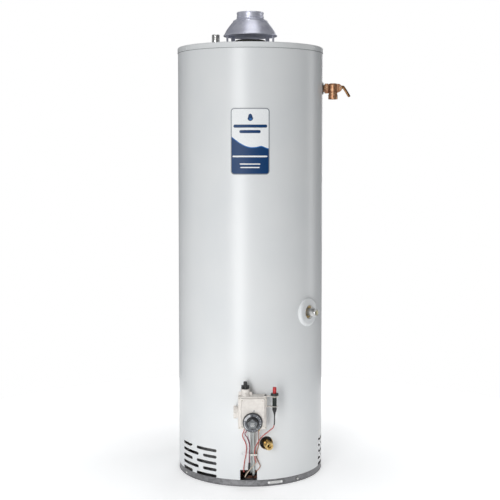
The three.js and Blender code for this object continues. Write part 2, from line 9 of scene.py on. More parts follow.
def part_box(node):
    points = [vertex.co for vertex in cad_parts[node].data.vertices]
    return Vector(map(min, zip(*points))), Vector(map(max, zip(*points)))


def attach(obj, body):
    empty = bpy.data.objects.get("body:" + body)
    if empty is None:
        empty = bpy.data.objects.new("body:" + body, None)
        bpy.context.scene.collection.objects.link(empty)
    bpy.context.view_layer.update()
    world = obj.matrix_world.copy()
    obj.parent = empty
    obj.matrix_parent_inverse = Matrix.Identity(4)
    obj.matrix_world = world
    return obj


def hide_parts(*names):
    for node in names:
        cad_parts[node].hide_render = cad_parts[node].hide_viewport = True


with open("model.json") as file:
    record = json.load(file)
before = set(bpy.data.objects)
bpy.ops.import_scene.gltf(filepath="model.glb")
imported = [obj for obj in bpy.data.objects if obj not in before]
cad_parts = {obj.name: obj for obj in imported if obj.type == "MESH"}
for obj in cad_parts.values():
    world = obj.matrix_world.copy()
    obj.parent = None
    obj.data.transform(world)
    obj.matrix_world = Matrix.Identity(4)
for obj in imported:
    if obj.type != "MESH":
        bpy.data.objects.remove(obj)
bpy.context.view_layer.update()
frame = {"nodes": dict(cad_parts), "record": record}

# Camera: a fairly long lens at chest height in front of the heater, tipped slightly down, with its frame
# shifted down a little to take in the whole heater.
def add_object(name, data):
    made = bpy.data.objects.new(name, data)
    bpy.context.scene.collection.objects.link(made)
    return made


camera = add_object("camera", bpy.data.cameras.new("camera"))
bpy.context.scene.camera = camera
camera.location = (0, -3.6885, 1.1207)
camera.rotation_euler = (math.radians(90 - 3.42), 0, 0)
camera.data.sensor_width = 36
camera.data.lens = 74.9
camera.data.shift_x = -0.0006
camera.data.shift_y = -0.07

# Studio: a white room, dimmer towards the right front, with one broad soft light left of the camera,
# weak ones at both sides and above, and a pale floor that is nearly as bright as the room.
bpy.context.scene.view_settings.view_transform = "Standard"
world = bpy.data.worlds.new("white_room")
bpy.context.scene.world = world
world.use_nodes = True
room = world.node_tree.nodes["Background"]
room.inputs["Color"].default_value = (0.95, 0.975, 1.0, 1)


def add_node(tree, kind, **values):
    node = tree.nodes.new(kind)
    for socket, value in values.items():
        node.inputs[socket.replace("_", " ")].default_value = value
    return node


def join_nodes(tree, *pairs):
    for source, target in pairs:
        tree.links.new(source, target)


sky = world.node_tree
direction = add_node(sky, "ShaderNodeTexCoord")
towards = add_node(sky, "ShaderNodeVectorMath")
towards.operation = "DOT_PRODUCT"
towards.inputs[1].default_value = (0.82, -0.57, 0)
dimmed = add_node(sky, "ShaderNodeMapRange", From_Min=-0.2, From_Max=0.9, To_Min=0.21, To_Max=0.13)
backdrop = add_node(sky, "ShaderNodeBackground", Color=(1, 1, 1, 1))
chosen = add_node(sky, "ShaderNodeMixShader")
path = add_node(sky, "ShaderNodeLightPath")
join_nodes(sky, (direction.outputs["Generated"], towards.inputs[0]),
           (towards.outputs["Value"], dimmed.inputs["Value"]),
           (dimmed.outputs["Result"], room.inputs["Strength"]),
           (path.outputs["Is Camera Ray"], chosen.inputs[0]),
           (room.outputs[0], chosen.inputs[1]), (backdrop.outputs[0], chosen.inputs[2]),
           (chosen.outputs[0], sky.nodes["World Output"].inputs["Surface"]))


def soft_light(name, place, target, size, watts, colour=(1, 1, 1)):
    lamp = bpy.data.lights.new(name, "AREA")
    lamp.shape = "RECTANGLE"
    lamp.size, lamp.size_y = size
    lamp.energy = watts
    lamp.color = colour
    light = add_object(name, lamp)
    light.location = place
    light.rotation_euler = (Vector(target) - Vector(place)).to_track_quat("-Z", "Y").to_euler()


soft_light("key_light", (-1.15, -3.85, 0.95), (0, 0, 0.85), (1.2, 2.8), 90)
soft_light("left_light", (-3.2, 0.5, 1.4), (0, 0, 0.8), (0.8, 2.6), 4)
soft_light("right_light", (3.0, 1.0, 1.3), (0, 0, 0.8), (0.6, 2.6), 14)
soft_light("back_light", (0.6, 3.4, 1.7), (0, 0, 0.8), (1.6, 2.4), 22)
soft_light("top_light", (0.2, -0.8, 3.6), (0, 0, 1.4), (1.6, 1.6), 14)

floor_paint = bpy.data.materials.new("pale_floor")
floor_paint.use_nodes = True
floor_tree = floor_paint.node_tree
floor_shader = floor_tree.nodes["Principled BSDF"]
floor_shader.inputs["Base Color"].default_value = (0.86, 0.87, 0.88, 1)
floor_shader.inputs["Roughness"].default_value = 0.9
floor_shader.inputs["Emission Color"].default_value = (1, 1, 1, 1)
floor_place = add_node(floor_tree, "ShaderNodeTexCoord")
from_centre = add_node(floor_tree, "ShaderNodeVectorMath")
from_centre.operation = "LENGTH"
brighter = add_node(floor_tree, "ShaderNodeMapRange", From_Min=0.35, From_Max=1.3, To_Min=0.45, To_Max=0.95)
join_nodes(floor_tree, (floor_place.outputs["Object"], from_centre.inputs[0]),
           (from_centre.outputs["Value"], brighter.inputs["Value"]),
           (brighter.outputs["Result"], floor_shader.inputs["Emission Strength"]))
slab = bmesh.new()
bmesh.ops.create_circle(slab, cap_ends=True, segments=96, radius=1.5)
floor = add_object("floor", bpy.data.meshes.new("floor"))
slab.to_mesh(floor.data)
slab.free()
floor.data.materials.append(floor_paint)
floor.location.z = -0.0006


# Base pan: one pressing of dull galvanised sheet, a disc with an upstanding rim that is rolled at both
# edges. It carries the jacket, which is screwed to it, and a paper strip is stuck to its rim.
def turned(profile, steps=120):
    shape = bmesh.new()
    points = [shape.verts.new((radius, 0, height)) for radius, height in profile]
    edges = [shape.edges.new(pair) for pair in zip(points, points[1:])]
    if profile[0][0] > 0 or profile[-1][0] > 0:
        edges.append(shape.edges.new((points[-1], points[0])))
    bmesh.ops.spin(shape, geom=points + edges, axis=(0, 0, 1), cent=(0, 0, 0), dvec=(0, 0, 0),
                   angle=math.tau, steps=steps, use_merge=True)
    bmesh.ops.remove_doubles(shape, verts=shape.verts, dist=1e-6)
    bmesh.ops.recalc_face_normals(shape, faces=shape.faces)
    return shape


def solid(outline, steps):
    return turned([(0, outline[0][1]), *outline, (0, outline[-1][1])], steps)


def rod(radius, low, high, steps):
    return solid([(radius, low), (radius, high)], steps)


def moved(shape, x=0.0, y=0.0, z=0.0):
    bmesh.ops.translate(shape, verts=shape.verts, vec=(x, y, z))
    return shape


def swung(shape, angle, axis):
    bmesh.ops.rotate(shape, verts=shape.verts, cent=(0, 0, 0), matrix=Matrix.Rotation(angle, 3, axis))
    return shape


def thickened(shape, low, high):
    grown = bmesh.ops.extrude_face_region(shape, geom=shape.faces[:])
    upper = [part for part in grown["geom"] if isinstance(part, bmesh.types.BMVert)]
    bmesh.ops.translate(shape, verts=upper, vec=(0, 0, high - low))
    bmesh.ops.recalc_face_normals(shape, faces=shape.faces)
    return moved(shape, z=low)


def round_edges(shape, edges, width, segments):
    bmesh.ops.bevel(shape, geom=edges, offset=width, offset_type="OFFSET", affect="EDGES",
                    segments=segments, profile=0.5, material=-1, clamp_overlap=True)
    return shape


def soften(shape, width, segments=2, sharper_than=30):
    limit = math.radians(sharper_than)
    edges = [edge for edge in shape.edges if len(edge.link_faces) == 2 and edge.calc_face_angle() > limit]
    return round_edges(shape, edges, width, segments)


def enrol(made, body, nodes):
    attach(made, body)
    if nodes:
        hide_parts(*nodes)
    return made


def make_piece(name, shape, material, body="heater", nodes=(), smooth=35):
    mesh = bpy.data.meshes.new(name)
    shape.to_mesh(mesh)
    shape.free()
    mesh.materials.append(material)
    mesh.shade_smooth()
    mesh.set_sharp_from_angle(angle=math.radians(smooth))
    return enrol(add_object(name, mesh), body, nodes)


def point_out(shape, angle, height):
    turn = Matrix.Rotation(math.radians(angle), 3, "Z") @ Matrix.Rotation(math.pi / 2, 3, "X")
    bmesh.ops.rotate(shape, verts=shape.verts, cent=(0, 0, 0), matrix=turn)
    return moved(shape, z=height)


def plain_finish(name, colour, roughness, metallic=0.0):
    material = bpy.data.materials.new(name)
    material.use_nodes = True
    shader = material.node_tree.nodes["Principled BSDF"]
    shader.inputs["Base Color"].default_value = (*colour, 1)
    shader.inputs["Roughness"].default_value = roughness
    shader.inputs["Metallic"].default_value = metallic
    return material


def grain(material, scale, detail=4.0):
    tree = material.node_tree
    place = add_node(tree, "ShaderNodeTexCoord")
    noise = add_node(tree, "ShaderNodeTexNoise", Scale=scale, Detail=detail)
    join_nodes(tree, (place.outputs["Object"], noise.inputs["Vector"]))
    return noise.outputs["Fac"]


# The factor of the next three is a node's output, or the scale, or the scale and detail, of a noise.
def as_output(material, factor):
    if isinstance(factor, tuple):
        return grain(material, *factor)
    return grain(material, factor) if isinstance(factor, (int, float)) else factor


def tint(material, factor, dark, light, spread=(0.35, 0.65)):
    tree = material.node_tree
    ramp = tree.nodes.new("ShaderNodeValToRGB")
    ramp.color_ramp.elements[0].position, ramp.color_ramp.elements[1].position = spread
    ramp.color_ramp.elements[0].color = (*dark, 1)
    ramp.color_ramp.elements[1].color = (*light, 1)
    join_nodes(tree, (as_output(material, factor), ramp.inputs["Fac"]),
               (ramp.outputs["Color"], tree.nodes["Principled BSDF"].inputs["Base Color"]))


def vary_roughness(material, factor, low, high):
    tree = material.node_tree
    spread = add_node(tree, "ShaderNodeMapRange", To_Min=low, To_Max=high)
    join_nodes(tree, (as_output(material, factor), spread.inputs["Value"]),
               (spread.outputs["Result"], tree.nodes["Principled BSDF"].inputs["Roughness"]))


def relief(material, factor, depth, strength=1.0):
    tree = material.node_tree
    bump = add_node(tree, "ShaderNodeBump", Distance=depth, Strength=strength)
    join_nodes(tree, (as_output(material, factor), bump.inputs["Height"]),
               (bump.outputs["Normal"], tree.nodes["Principled BSDF"].inputs["Normal"]))


def crystals(material, scale):
    tree = material.node_tree
    place = add_node(tree, "ShaderNodeTexCoord")
    cells = add_node(tree, "ShaderNodeTexVoronoi", Scale=scale)
    split = add_node(tree, "ShaderNodeSeparateColor")
    join_nodes(tree, (place.outputs["Object"], cells.inputs["Vector"]),
               (cells.outputs["Color"], split.inputs["Color"]))
    return split.outputs["Red"]


def finish(name, colour, roughness, metallic=0.0, mottle=None, wear=None, texture=None):
    material = plain_finish(name, colour, roughness, metallic)
    for layer, settings in ((tint, mottle), (vary_roughness, wear), (relief, texture)):
        if settings:
            layer(material, *settings)
    return material


dull_zinc = plain_finish("dull_zinc", (0.26, 0.26, 0.27), 0.5, 0.85)
spangle = crystals(dull_zinc, 90)
tint(dull_zinc, spangle, (0.2, 0.2, 0.205), (0.31, 0.31, 0.32), (0.0, 1.0))
vary_roughness(dull_zinc, spangle, 0.42, 0.6)
relief(dull_zinc, 900, 0.0002, 0.25)

pan_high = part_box("base_pan")[1]
rim_r, rim_top = pan_high.x, pan_high.z
rim = [
    (0, 0), (rim_r - 0.003, 0), (rim_r - 0.0012, 0.0004), (rim_r, 0.002), (rim_r, 0.0034),
    (rim_r - 0.0011, 0.0046), (rim_r - 0.0011, rim_top - 0.0046), (rim_r, rim_top - 0.0034),
    (rim_r, rim_top - 0.001), (rim_r - 0.0008, rim_top), (rim_r - 0.0022, rim_top),
    (rim_r - 0.003, rim_top - 0.003), (rim_r - 0.003, 0.0035), (rim_r - 0.005, 0.002), (0, 0.002),
]
make_piece("base_pan_pressing", turned(rim, 180), dull_zinc, nodes=["base_pan"])


def cube(low, high):
    shape = bmesh.new()
    bmesh.ops.create_cube(shape, size=1)
    bmesh.ops.scale(shape, verts=shape.verts, vec=[b - a for a, b in zip(low, high)])
    bmesh.ops.translate(shape, verts=shape.verts, vec=[(a + b) / 2 for a, b in zip(low, high)])
    return shape


def pan_head_screw(radius, height):
    shape = solid([(radius, -0.002), (radius, height * 0.35), (radius * 0.82, height * 0.8),
                   (radius * 0.45, height)], 28)
    for turn in (0, math.pi / 2):
        groove = cube((-radius * 0.55, -radius * 0.13, height * 0.45),
                      (radius * 0.55, radius * 0.13, height * 1.45))
        shape = cut_away(shape, swung(groove, turn, "Z"))
    return shape


def cut_away(shape, tool, operation="DIFFERENCE"):
    pair = []
    for part in (shape, tool):
        mesh = bpy.data.meshes.new("rough")
        part.to_mesh(mesh)
        part.free()
        pair.append(add_object("rough", mesh))
    cut = pair[0].modifiers.new("cut", "BOOLEAN")
    cut.operation = operation
    cut.solver = "EXACT"
    cut.object = pair[1]
    result = bmesh.new()
    result.from_object(pair[0], bpy.context.evaluated_depsgraph_get())
    for part in pair:
        mesh = part.data
        bpy.data.objects.remove(part)
        bpy.data.meshes.remove(mesh)
    return result


bright_screw = finish("bright_screw", (0.78, 0.77, 0.74), 0.28, 1.0, wear=(1500, 0.22, 0.4))
for number, angle in enumerate((39.6, -61, 128, -140), 1):
    screw = moved(pan_head_screw(0.0038, 0.0026), z=rim_r - 0.0008)
    make_piece(f"base_screw_{number}", point_out(screw, angle, 0.0105), bright_screw)


def wrapped_plate(left, right, low, high, corner, inner, outer, step=0.004):
    shape = bmesh.new()
    bmesh.ops.create_grid(shape, x_segments=1, y_segments=1, size=0.5)
    bmesh.ops.scale(shape, verts=shape.verts, vec=(right - left, high - low, 1))
    bmesh.ops.bevel(shape, geom=shape.verts[:], offset=corner, offset_type="OFFSET", affect="VERTICES",
                    segments=8, profile=0.5, material=-1)
    moved(shape, (left + right) / 2, (low + high) / 2)
    return wrap(shape, inner, outer, step)


# Lays a flat outline, drawn in X and Y, on a drum: X runs round the drum and Y becomes its height.
def wrap(shape, inner, outer, step=0.004):
    lowest = min(point.co.x for point in shape.verts)
    highest = max(point.co.x for point in shape.verts)
    for index in range(1, int((highest - lowest) / step) + 1):
        bmesh.ops.bisect_plane(shape, geom=shape.verts[:] + shape.edges[:] + shape.faces[:], dist=1e-6,
                               plane_co=(lowest + index * step, 0, 0), plane_no=(1, 0, 0))
    thickened(shape, 0, outer - inner)
    for point in shape.verts:
        angle, radius = point.co.x / outer, inner + point.co.z
        point.co = (radius * math.sin(angle), -radius * math.cos(angle), point.co.y)
    bmesh.ops.recalc_face_normals(shape, faces=shape.faces)
    return shape


strip_paper = finish("strip_paper", (0.8, 0.8, 0.78), 0.45, 0,
                     (240, (0.56, 0.56, 0.55), (0.66, 0.66, 0.65)))
strip_spots = [math.radians(angle) * rim_r for angle in (14.3, 24.6)]
strip_angles = [math.radians(angle) * rim_r for angle in (13.5, 25.4)]
make_piece("base_strip", wrapped_plate(*strip_angles, 0.0075, 0.0165, 0.003, rim_r - 0.001, rim_r + 0.0002),
           strip_paper)
spot_white = finish("strip_spot_white", (0.86, 0.86, 0.85), 0.4, 0,
                    (300, (0.82, 0.82, 0.81), (0.9, 0.9, 0.89)))
for number, along in enumerate(strip_spots, 1):
    spot = wrapped_plate(along - 0.0036, along + 0.0036, 0.0084, 0.0156, 0.0034, rim_r - 0.0004,
                         rim_r + 0.0005, 0.002)
    make_piece(f"strip_spot_{number}", spot, spot_white)

# Jacket: one sheet of steel rolled into a drum, closed by a seam at the back and painted a cool satin
# white. Air slots are punched round its foot, and round holes let the fittings through.
white_paint = finish("satin_white_paint", (0.76, 0.78, 0.79), 0.32, 0,
                     ((5, 2), (0.745, 0.765, 0.775), (0.775, 0.79, 0.795)), (40, 0.29, 0.36),
                     ((420, 2), 0.0004, 0.06))

jacket_low, jacket_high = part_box("jacket_foot")[0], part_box("jacket")[1]
jacket_r = jacket_high.x
sheet = 0.0009
slot_height = 0.0105
short_row = [(-65.6, -51.5), (-46.3, -26.7)]
long_row = [(-65.6, -44.2), (-39.5, -26.7)]
opening_low, opening_high = (-0.034, 0.0215), (0.023, 0.058)


def join_shapes(*shapes):
    whole = bmesh.new()
    for shape in shapes:
        mesh = bpy.data.meshes.new("rough")
        shape.to_mesh(mesh)
        shape.free()
        whole.from_mesh(mesh)
        bpy.data.meshes.remove(mesh)
    return whole


def punch(length, height, angle, level):
    shape = bmesh.new()
    bmesh.ops.create_circle(shape, cap_ends=True, segments=24, radius=height / 2)
    for side in (-1, 1):
        half = [point for point in shape.verts if side * point.co.x > 1e-6]
        bmesh.ops.translate(shape, verts=half, vec=(side * (length - height) / 2, 0, 0))
    return point_out(thickened(shape, 0.22, 0.3), angle, level)


punches = [
    punch(0.045, 0.045, 12.3, 0.149), punch(0.047, 0.047, 50.6, 0.579), punch(0.042, 0.042, 90, 1.347),
    cube((opening_low[0], -0.29, 0.0), (opening_high[0], -0.22, opening_high[1])),
]
for group_turn in (0, 135, 270):
    for row, level in enumerate((0.028, 0.049, 0.071, 0.093, 0.115)):
        for start, end in long_row if row % 2 else short_row:
            chord = 2 * jacket_r * math.sin(math.radians(end - start) / 2)
            punches.append(punch(chord, slot_height, (start + end) / 2 + group_turn, level))
drum = turned([
    (jacket_r - sheet, jacket_low.z), (jacket_r, jacket_low.z), (jacket_r, 0.15), (jacket_r, 1.3),
    (jacket_r, jacket_high.z), (jacket_r - sheet, jacket_high.z),
], 180)
drum = cut_away(drum, join_shapes(*punches))


def drum_normals(made, radius, depth):
    mesh = made.data
    normals = []
    for face in mesh.polygons:
        for index in face.vertices:
            place = mesh.vertices[index].co
            out = Vector((place.x, place.y, 0))
            on_skin = abs(out.length - radius) < depth and face.normal.dot(out.normalized()) > 0.98
            normals.append(out.normalized() if on_skin else face.normal)
    mesh.normals_split_custom_set(normals)


jacket = make_piece("jacket_drum", drum, white_paint, nodes=["jacket", "jacket_foot"])
drum_normals(jacket, jacket_r, 0.0004)
seam = wrapped_plate(-0.0065, 0.0065, jacket_low.z + 0.001, jacket_high.z - 0.02, 0.001, jacket_r,
                     jacket_r + 0.0012)
swung(seam, math.pi, "Z")
make_piece("jacket_seam", seam, white_paint)

# Lid: a shallow painted pan pressed down over the top of the drum. Its edge is rolled, a low round step
# stiffens its top, and it is held by screws through its skirt.
lid_low, lid_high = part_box("jacket_lid")
lid_r, lid_top = lid_high.x, lid_high.z
lid_profile = [(0.0535, lid_top - 0.0012), (0.235, lid_top - 0.0012)]
lid_profile += [(lid_r - 0.001, lid_top - 0.004), (lid_r - 0.001, lid_low.z + 0.001)]
lid_profile += [(lid_r + 0.0004, lid_low.z - 0.0006), (lid_r + 0.0008, lid_low.z + 0.0004)]
lid_profile += [(lid_r + 0.0006, lid_low.z + 0.0016), (lid_r, lid_low.z + 0.003), (lid_r, lid_top - 0.005)]
corner = 0.005
for index in range(1, 7):
    turn = index / 6 * math.pi / 2
    lid_profile.append((lid_r - corner * (1 - math.cos(turn)), lid_top - corner + corner * math.sin(turn)))
lid_profile += [(0.236, lid_top), (0.0535, lid_top)]
lid = turned(lid_profile, 180)


def middle(low, high):
    return (low.x + high.x) / 2, (low.y + high.y) / 2


fittings = [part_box(name) for name in ("cold_inlet_nipple", "hot_outlet_nipple", "anode_rod")]
for (low, high), hole in zip(fittings, (0.0145, 0.0145, 0.018)):
    tool = rod(hole, 1.44, 1.6, 48)
    moved(tool, *middle(low, high))
    lid = cut_away(lid, tool)
make_piece("lid_pressing", lid, white_paint, nodes=["jacket_lid"])
# The dark grey ring just under the lid's rolled edge is painted shade: a dark band that stands for the shadow
# line where the lid's edge overhangs the jacket.
lid_gap_shadow_grey = finish("lid_gap_shadow_grey", (0.22, 0.23, 0.24), 0.7, 0,
                      (300, (0.17, 0.18, 0.19), (0.26, 0.27, 0.28)))
lid_gap_shadow_ring = turned([(jacket_r - 0.0002, lid_low.z - 0.0024), (jacket_r + 0.0003, lid_low.z - 0.0021),
                  (jacket_r + 0.0005, lid_low.z - 0.0007), (jacket_r - 0.0002, lid_low.z - 0.0006)], 180)
make_piece("lid_gap_shadow", lid_gap_shadow_ring, lid_gap_shadow_grey)
for number, angle in enumerate((58, -58, 180), 1):
    screw = moved(pan_head_screw(0.0034, 0.0022), z=lid_r - 0.0004)
    make_piece(f"lid_screw_{number}", point_out(screw, angle, lid_top - 0.0105), white_paint)

# Draft hood: a bell of bright galvanised sheet, spun in one piece, with a beaded collar for the vent pipe.
# Four strap legs riveted inside its skirt stand on the lid and leave a gap for room air.
bright_zinc = plain_finish("bright_zinc", (0.66, 0.67, 0.77), 0.3, 0.65)
flakes = crystals(bright_zinc, 75)
tint(bright_zinc, flakes, (0.62, 0.63, 0.74), (0.72, 0.73, 0.82), (0.0, 1.0))
vary_roughness(bright_zinc, flakes, 0.33, 0.43)
relief(bright_zinc, 700, 0.0002, 0.12)

collar_low, collar_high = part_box("draft_hood_collar")
hood_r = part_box("draft_hood_bell")[1].x
wall = 0.0011


bell_line = [
    (hood_r - 0.0003, 0.043), (hood_r, 0.0442), (hood_r - 0.0008, 0.0462),
    (0.0908, 0.0492), (0.0882, 0.055), (0.0848, 0.0616), (0.0804, 0.0686),
    (0.0756, 0.0754), (0.0704, 0.082), (0.0654, 0.088), (0.0618, 0.092),
    (0.0606, 0.094), (0.061, 0.0955),
    (0.0598, 0.0966), (0.0585, 0.0976), (0.0535, 0.1), (0.05, 0.1022),
    (0.0484, 0.104),
]
bell_outside = [(radius, lid_top + height) for radius, height in bell_line]
bell_inside = [(radius - wall, height - wall * 0.3) for radius, height in reversed(bell_outside)]
make_piece("hood_bell", turned(bell_outside + bell_inside, 128), bright_zinc,
           nodes=["draft_hood_bell"], smooth=60)


def beaded_tube(radius, wall, low, high, beads, rise=0.0013, reach=0.003):
    outside = [(radius, low)]
    for bead in beads:
        for index in range(9):
            turn = index / 8 * math.pi
            outside.append((radius + rise * math.sin(turn), bead - reach * math.cos(turn)))
    outside.append((radius, high))
    inside = [(spot - wall, height) for spot, height in reversed(outside)]
    return outside + inside


collar_top = collar_high.z
collar = beaded_tube(0.0466, 0.001, collar_low.z, collar_top, [collar_top - 0.0165, collar_top - 0.0035])
make_piece("hood_collar", turned(collar, 128), bright_zinc,
           nodes=["draft_hood_collar"], smooth=60)
for number, angle in enumerate((-134, -70, 70, 134), 1):
    strap = cube((-0.01, -0.0856, lid_top + 0.0005), (0.01, -0.0845, lid_top + 0.05))
    foot = cube((-0.01, -0.0856, lid_top + 0.0005), (0.01, -0.0725, lid_top + 0.0016))
    leg = join_shapes(soften(strap, 0.0003, 1), soften(foot, 0.0003, 1))
    rivet = turned([(0, 0.083), (0.0026, 0.083), (0.0026, 0.0868), (0.0015, 0.0878), (0, 0.088)], 20)
    leg = join_shapes(leg, point_out(rivet, 0, lid_top + 0.0455))
    swung(leg, math.radians(angle), "Z")
    make_piece(f"hood_leg_{number}", leg, bright_zinc,
               nodes=[f"draft_hood_leg_{number}"])

# Flue: a black, sooted steel tube that is welded into the tank's two heads and ends just above the lid. A
# folded steel strip hangs in it to slow the hot gas.
flue_black = finish("flue_black", (0.022, 0.021, 0.021), 0.7, 0,
                    (60, (0.014, 0.013, 0.013), (0.05, 0.045, 0.04)), (60, 0.65, 0.9))
flue_low, flue_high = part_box("flue_tube")
flue_r = flue_high.x
flue_top = flue_high.z + 0.0045
flue_wall = [(flue_r - 0.0025, flue_low.z), (flue_r, flue_low.z), (flue_r, flue_top),
             (flue_r - 0.0025, flue_top)]
make_piece("flue_pipe", soften(turned(flue_wall, 96), 0.0006), flue_black, nodes=["flue_tube"])

# Top connections: pipe nipples for cold and hot water, plated outside, with pale plastic linings inside,
# and the hexagonal plug of the anode rod.
def threaded(radius, bore, low, high, thread_low, thread_high, pitch=0.0018, depth=0.0007):
    outside = [(radius, low), (radius, thread_low)]
    level = thread_low
    while level + pitch < thread_high:
        outside += [(radius - depth, level + pitch * 0.35), (radius - depth, level + pitch * 0.45),
                    (radius, level + pitch * 0.85), (radius, level + pitch)]
        level += pitch
    outside += [(radius - depth, high - 0.0006), (radius - depth - 0.0006, high), (bore, high), (bore, low)]
    return turned(outside, 72)


def hex_bar(across, low, high):
    shape = bmesh.new()
    bmesh.ops.create_cone(shape, cap_ends=True, segments=6, radius1=across / math.sqrt(3),
                          radius2=across / math.sqrt(3), depth=high - low)
    moved(shape, z=(low + high) / 2)
    return shape


def metal_finish(name, colour, low, high, scale=1200, strength=0.12):
    metal = plain_finish(name, colour, low, 1.0)
    tint(metal, scale / 12, [part * 0.86 for part in colour], colour)
    vary_roughness(metal, scale / 5, low, high)
    relief(metal, scale, 0.00015, strength)
    return metal


plated_steel = metal_finish("plated_steel", (0.72, 0.72, 0.71), 0.24, 0.4)
liner_plastic = finish("liner_plastic", (0.78, 0.74, 0.56), 0.45, 0,
                       (120, (0.72, 0.68, 0.5), (0.8, 0.77, 0.6)))
for name in ("cold_inlet_nipple", "hot_outlet_nipple"):
    low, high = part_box(name)
    nipple = threaded(0.0135, 0.0095, low.z, high.z, high.z - 0.019, high.z - 0.001)
    moved(nipple, *middle(low, high))
    make_piece(name.replace("nipple", "pipe"), nipple, plated_steel, nodes=[name])
    collar = turned([(0.0139, lid_top + 0.0002), (0.0195, lid_top + 0.0002), (0.0195, lid_top + 0.0012),
                     (0.017, lid_top + 0.0028), (0.0139, lid_top + 0.003)], 48)
    moved(collar, *middle(low, high))
    make_piece(name.replace("nipple", "grommet"), collar, liner_plastic)
low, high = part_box("anode_rod")
plug = hex_bar(0.027, high.z - 0.01, high.z)
chamfer = solid([(0.02, high.z - 0.02), (0.02, high.z - 0.0035), (0.013, high.z)], 64)
plug = cut_away(plug, chamfer, "INTERSECT")
moved(plug, *middle(low, high))
make_piece("anode_plug", plug, plated_steel)

# Badge: a printed plastic plate bowed onto the jacket. A grey rim frames a white field, a navy field with a
# wavy upper edge fills the rest, and plain bars and a droplet stand for its print.
badge_low, badge_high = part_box("badge_plate")
badge_x, badge_z = (-0.065, 0.064), (badge_low.z, badge_high.z)
badge_in = jacket_r + 0.0001


def smooth_print(name, colour, roughness=0.46):
    print_ink = plain_finish(name, colour, roughness)
    tint(print_ink, 300, [part * 0.94 for part in colour], colour)
    print_ink.node_tree.nodes["Principled BSDF"].inputs["Specular IOR Level"].default_value = 0.3
    return print_ink


rim_grey = smooth_print("badge_rim_grey", (0.24, 0.26, 0.29))
badge_white = smooth_print("badge_white", (0.9, 0.92, 0.93))
navy = smooth_print("badge_navy", (0.002, 0.042, 0.145))
mid_blue = smooth_print("badge_blue", (0.02, 0.17, 0.5))
frame_width = 0.0028
make_piece("badge_rim", wrapped_plate(*badge_x, *badge_z, 0.0115, badge_in, badge_in + 0.001), rim_grey,
           nodes=["badge_plate"])
inner_x = (badge_x[0] + frame_width, badge_x[1] - frame_width)
inner_z = (badge_z[0] + frame_width, badge_z[1] - frame_width)
make_piece("badge_field", wrapped_plate(*inner_x, *inner_z, 0.009, badge_in + 0.0008, badge_in + 0.0012),
           badge_white)


def filled(points):
    shape = bmesh.new()
    shape.faces.new([shape.verts.new((x, y, 0)) for x, y in points])
    return shape


def wave(along):
    span = inner_x[1] - inner_x[0]
    share = (along - inner_x[0]) / span
    dip = 1.171 - 0.035 * math.sin(min(share / 0.56, 1) * math.pi / 2)
    crest = 0.0045 * math.exp(-((share - 0.8) / 0.11) ** 2)
    return dip + crest - 0.004 * max(0, share - 0.8) / 0.2


def lower_outline(inset, top):
    left, right, low, round_off = inner_x[0] + inset, inner_x[1] - inset, inner_z[0] + inset, 0.009 - inset
    points = []
    for middle, start in ((left + round_off, math.pi), (right - round_off, 1.5 * math.pi)):
        for index in range(9):
            turn = start + index / 8 * math.pi / 2
            points.append((middle + round_off * math.cos(turn), low + round_off + round_off * math.sin(turn)))
    steps = [right + (left - right) * index / 40 for index in range(41)]
    return points + [(along, top(along)) for along in steps]


ink_in = badge_in + 0.001
make_piece("badge_wave_blue", wrap(filled(lower_outline(0.0002, lambda x: wave(x) + 0.0032)), ink_in,
                                   ink_in + 0.0003),
           mid_blue)
make_piece("badge_wave_navy", wrap(filled(lower_outline(0.0, wave)), ink_in + 0.0001, ink_in + 0.0005),
           navy)
drop = []
for index in range(36):
    turn = index / 36 * math.tau
    reach = 0.0092 * (1 + 0.62 * max(0, math.cos(turn)) ** 5)
    drop.append((-reach * math.sin(turn) * (0.9 if math.cos(turn) > 0 else 1),
                 1.2345 + reach * math.cos(turn)))
make_piece("badge_droplet", wrap(filled(drop), ink_in, ink_in + 0.0005, 0.002), navy)
glint = [(0.0045 * math.cos(index / 20 * math.tau) + 0.001, 1.2315 + 0.0028 * math.sin(index / 20 * math.tau))
         for index in range(20)]
make_piece("badge_glint", wrap(filled(glint), ink_in + 0.0003, ink_in + 0.0007, 0.002), mid_blue)
for number, (centre, level, length, height, ink) in enumerate((
        (0.000, 1.2085, 0.112, 0.01, navy), (-0.001, 1.1905, 0.07, 0.01, navy),
        (-0.001, 1.109, 0.116, 0.0052, badge_white), (-0.001, 1.0838, 0.068, 0.0036, badge_white),
        (-0.001, 1.0724, 0.064, 0.0036, badge_white)), 1):
    bar = wrapped_plate(centre - length / 2, centre + length / 2, level - height / 2, level + height / 2,
                        height * 0.45, ink_in + 0.0003, ink_in + 0.0007)
    make_piece(f"badge_bar_{number}", bar, ink)

# Temperature and pressure relief valve: a bronze casting screwed into the tank through the jacket. Its
# outlet points down, and a pressed lever on its nose pulls the stem.
bronze = finish("cast_bronze", (0.46, 0.24, 0.13), 0.45, 0.75,
                ((130, 6), (0.33, 0.14, 0.075), (0.66, 0.4, 0.23), (0.35, 0.68)), ((130, 6), 0.32, 0.55),
                (700, 0.0004, 0.35))
dark_bronze = finish("lever_bronze", (0.16, 0.085, 0.04), 0.4, 0.85,
                     (160, (0.1, 0.05, 0.025), (0.33, 0.17, 0.07)), (500, 0.32, 0.5))
brass = finish("machined_brass", (0.72, 0.5, 0.2), 0.3, 1.0,
               ((150, 6), (0.34, 0.22, 0.07), (0.8, 0.57, 0.24), (0.34, 0.6)), ((150, 6), 0.2, 0.42),
               (900, 0.0003, 0.2))
black_rubber = finish("black_rubber", (0.02, 0.02, 0.021), 0.6, 0,
                      (300, (0.012, 0.012, 0.013), (0.032, 0.032, 0.034)), texture=(1500, 0.0002, 0.3))
relief_z, outlet_x = 1.347, 0.2915
stem_z = relief_z + 0.003


def turn_to_x(shape, height):
    return moved(swung(shape, math.pi / 2, "Y"), z=height)


def merged(*shapes):
    whole = shapes[0]
    for shape in shapes[1:]:
        whole = cut_away(whole, shape, "UNION")
    return whole


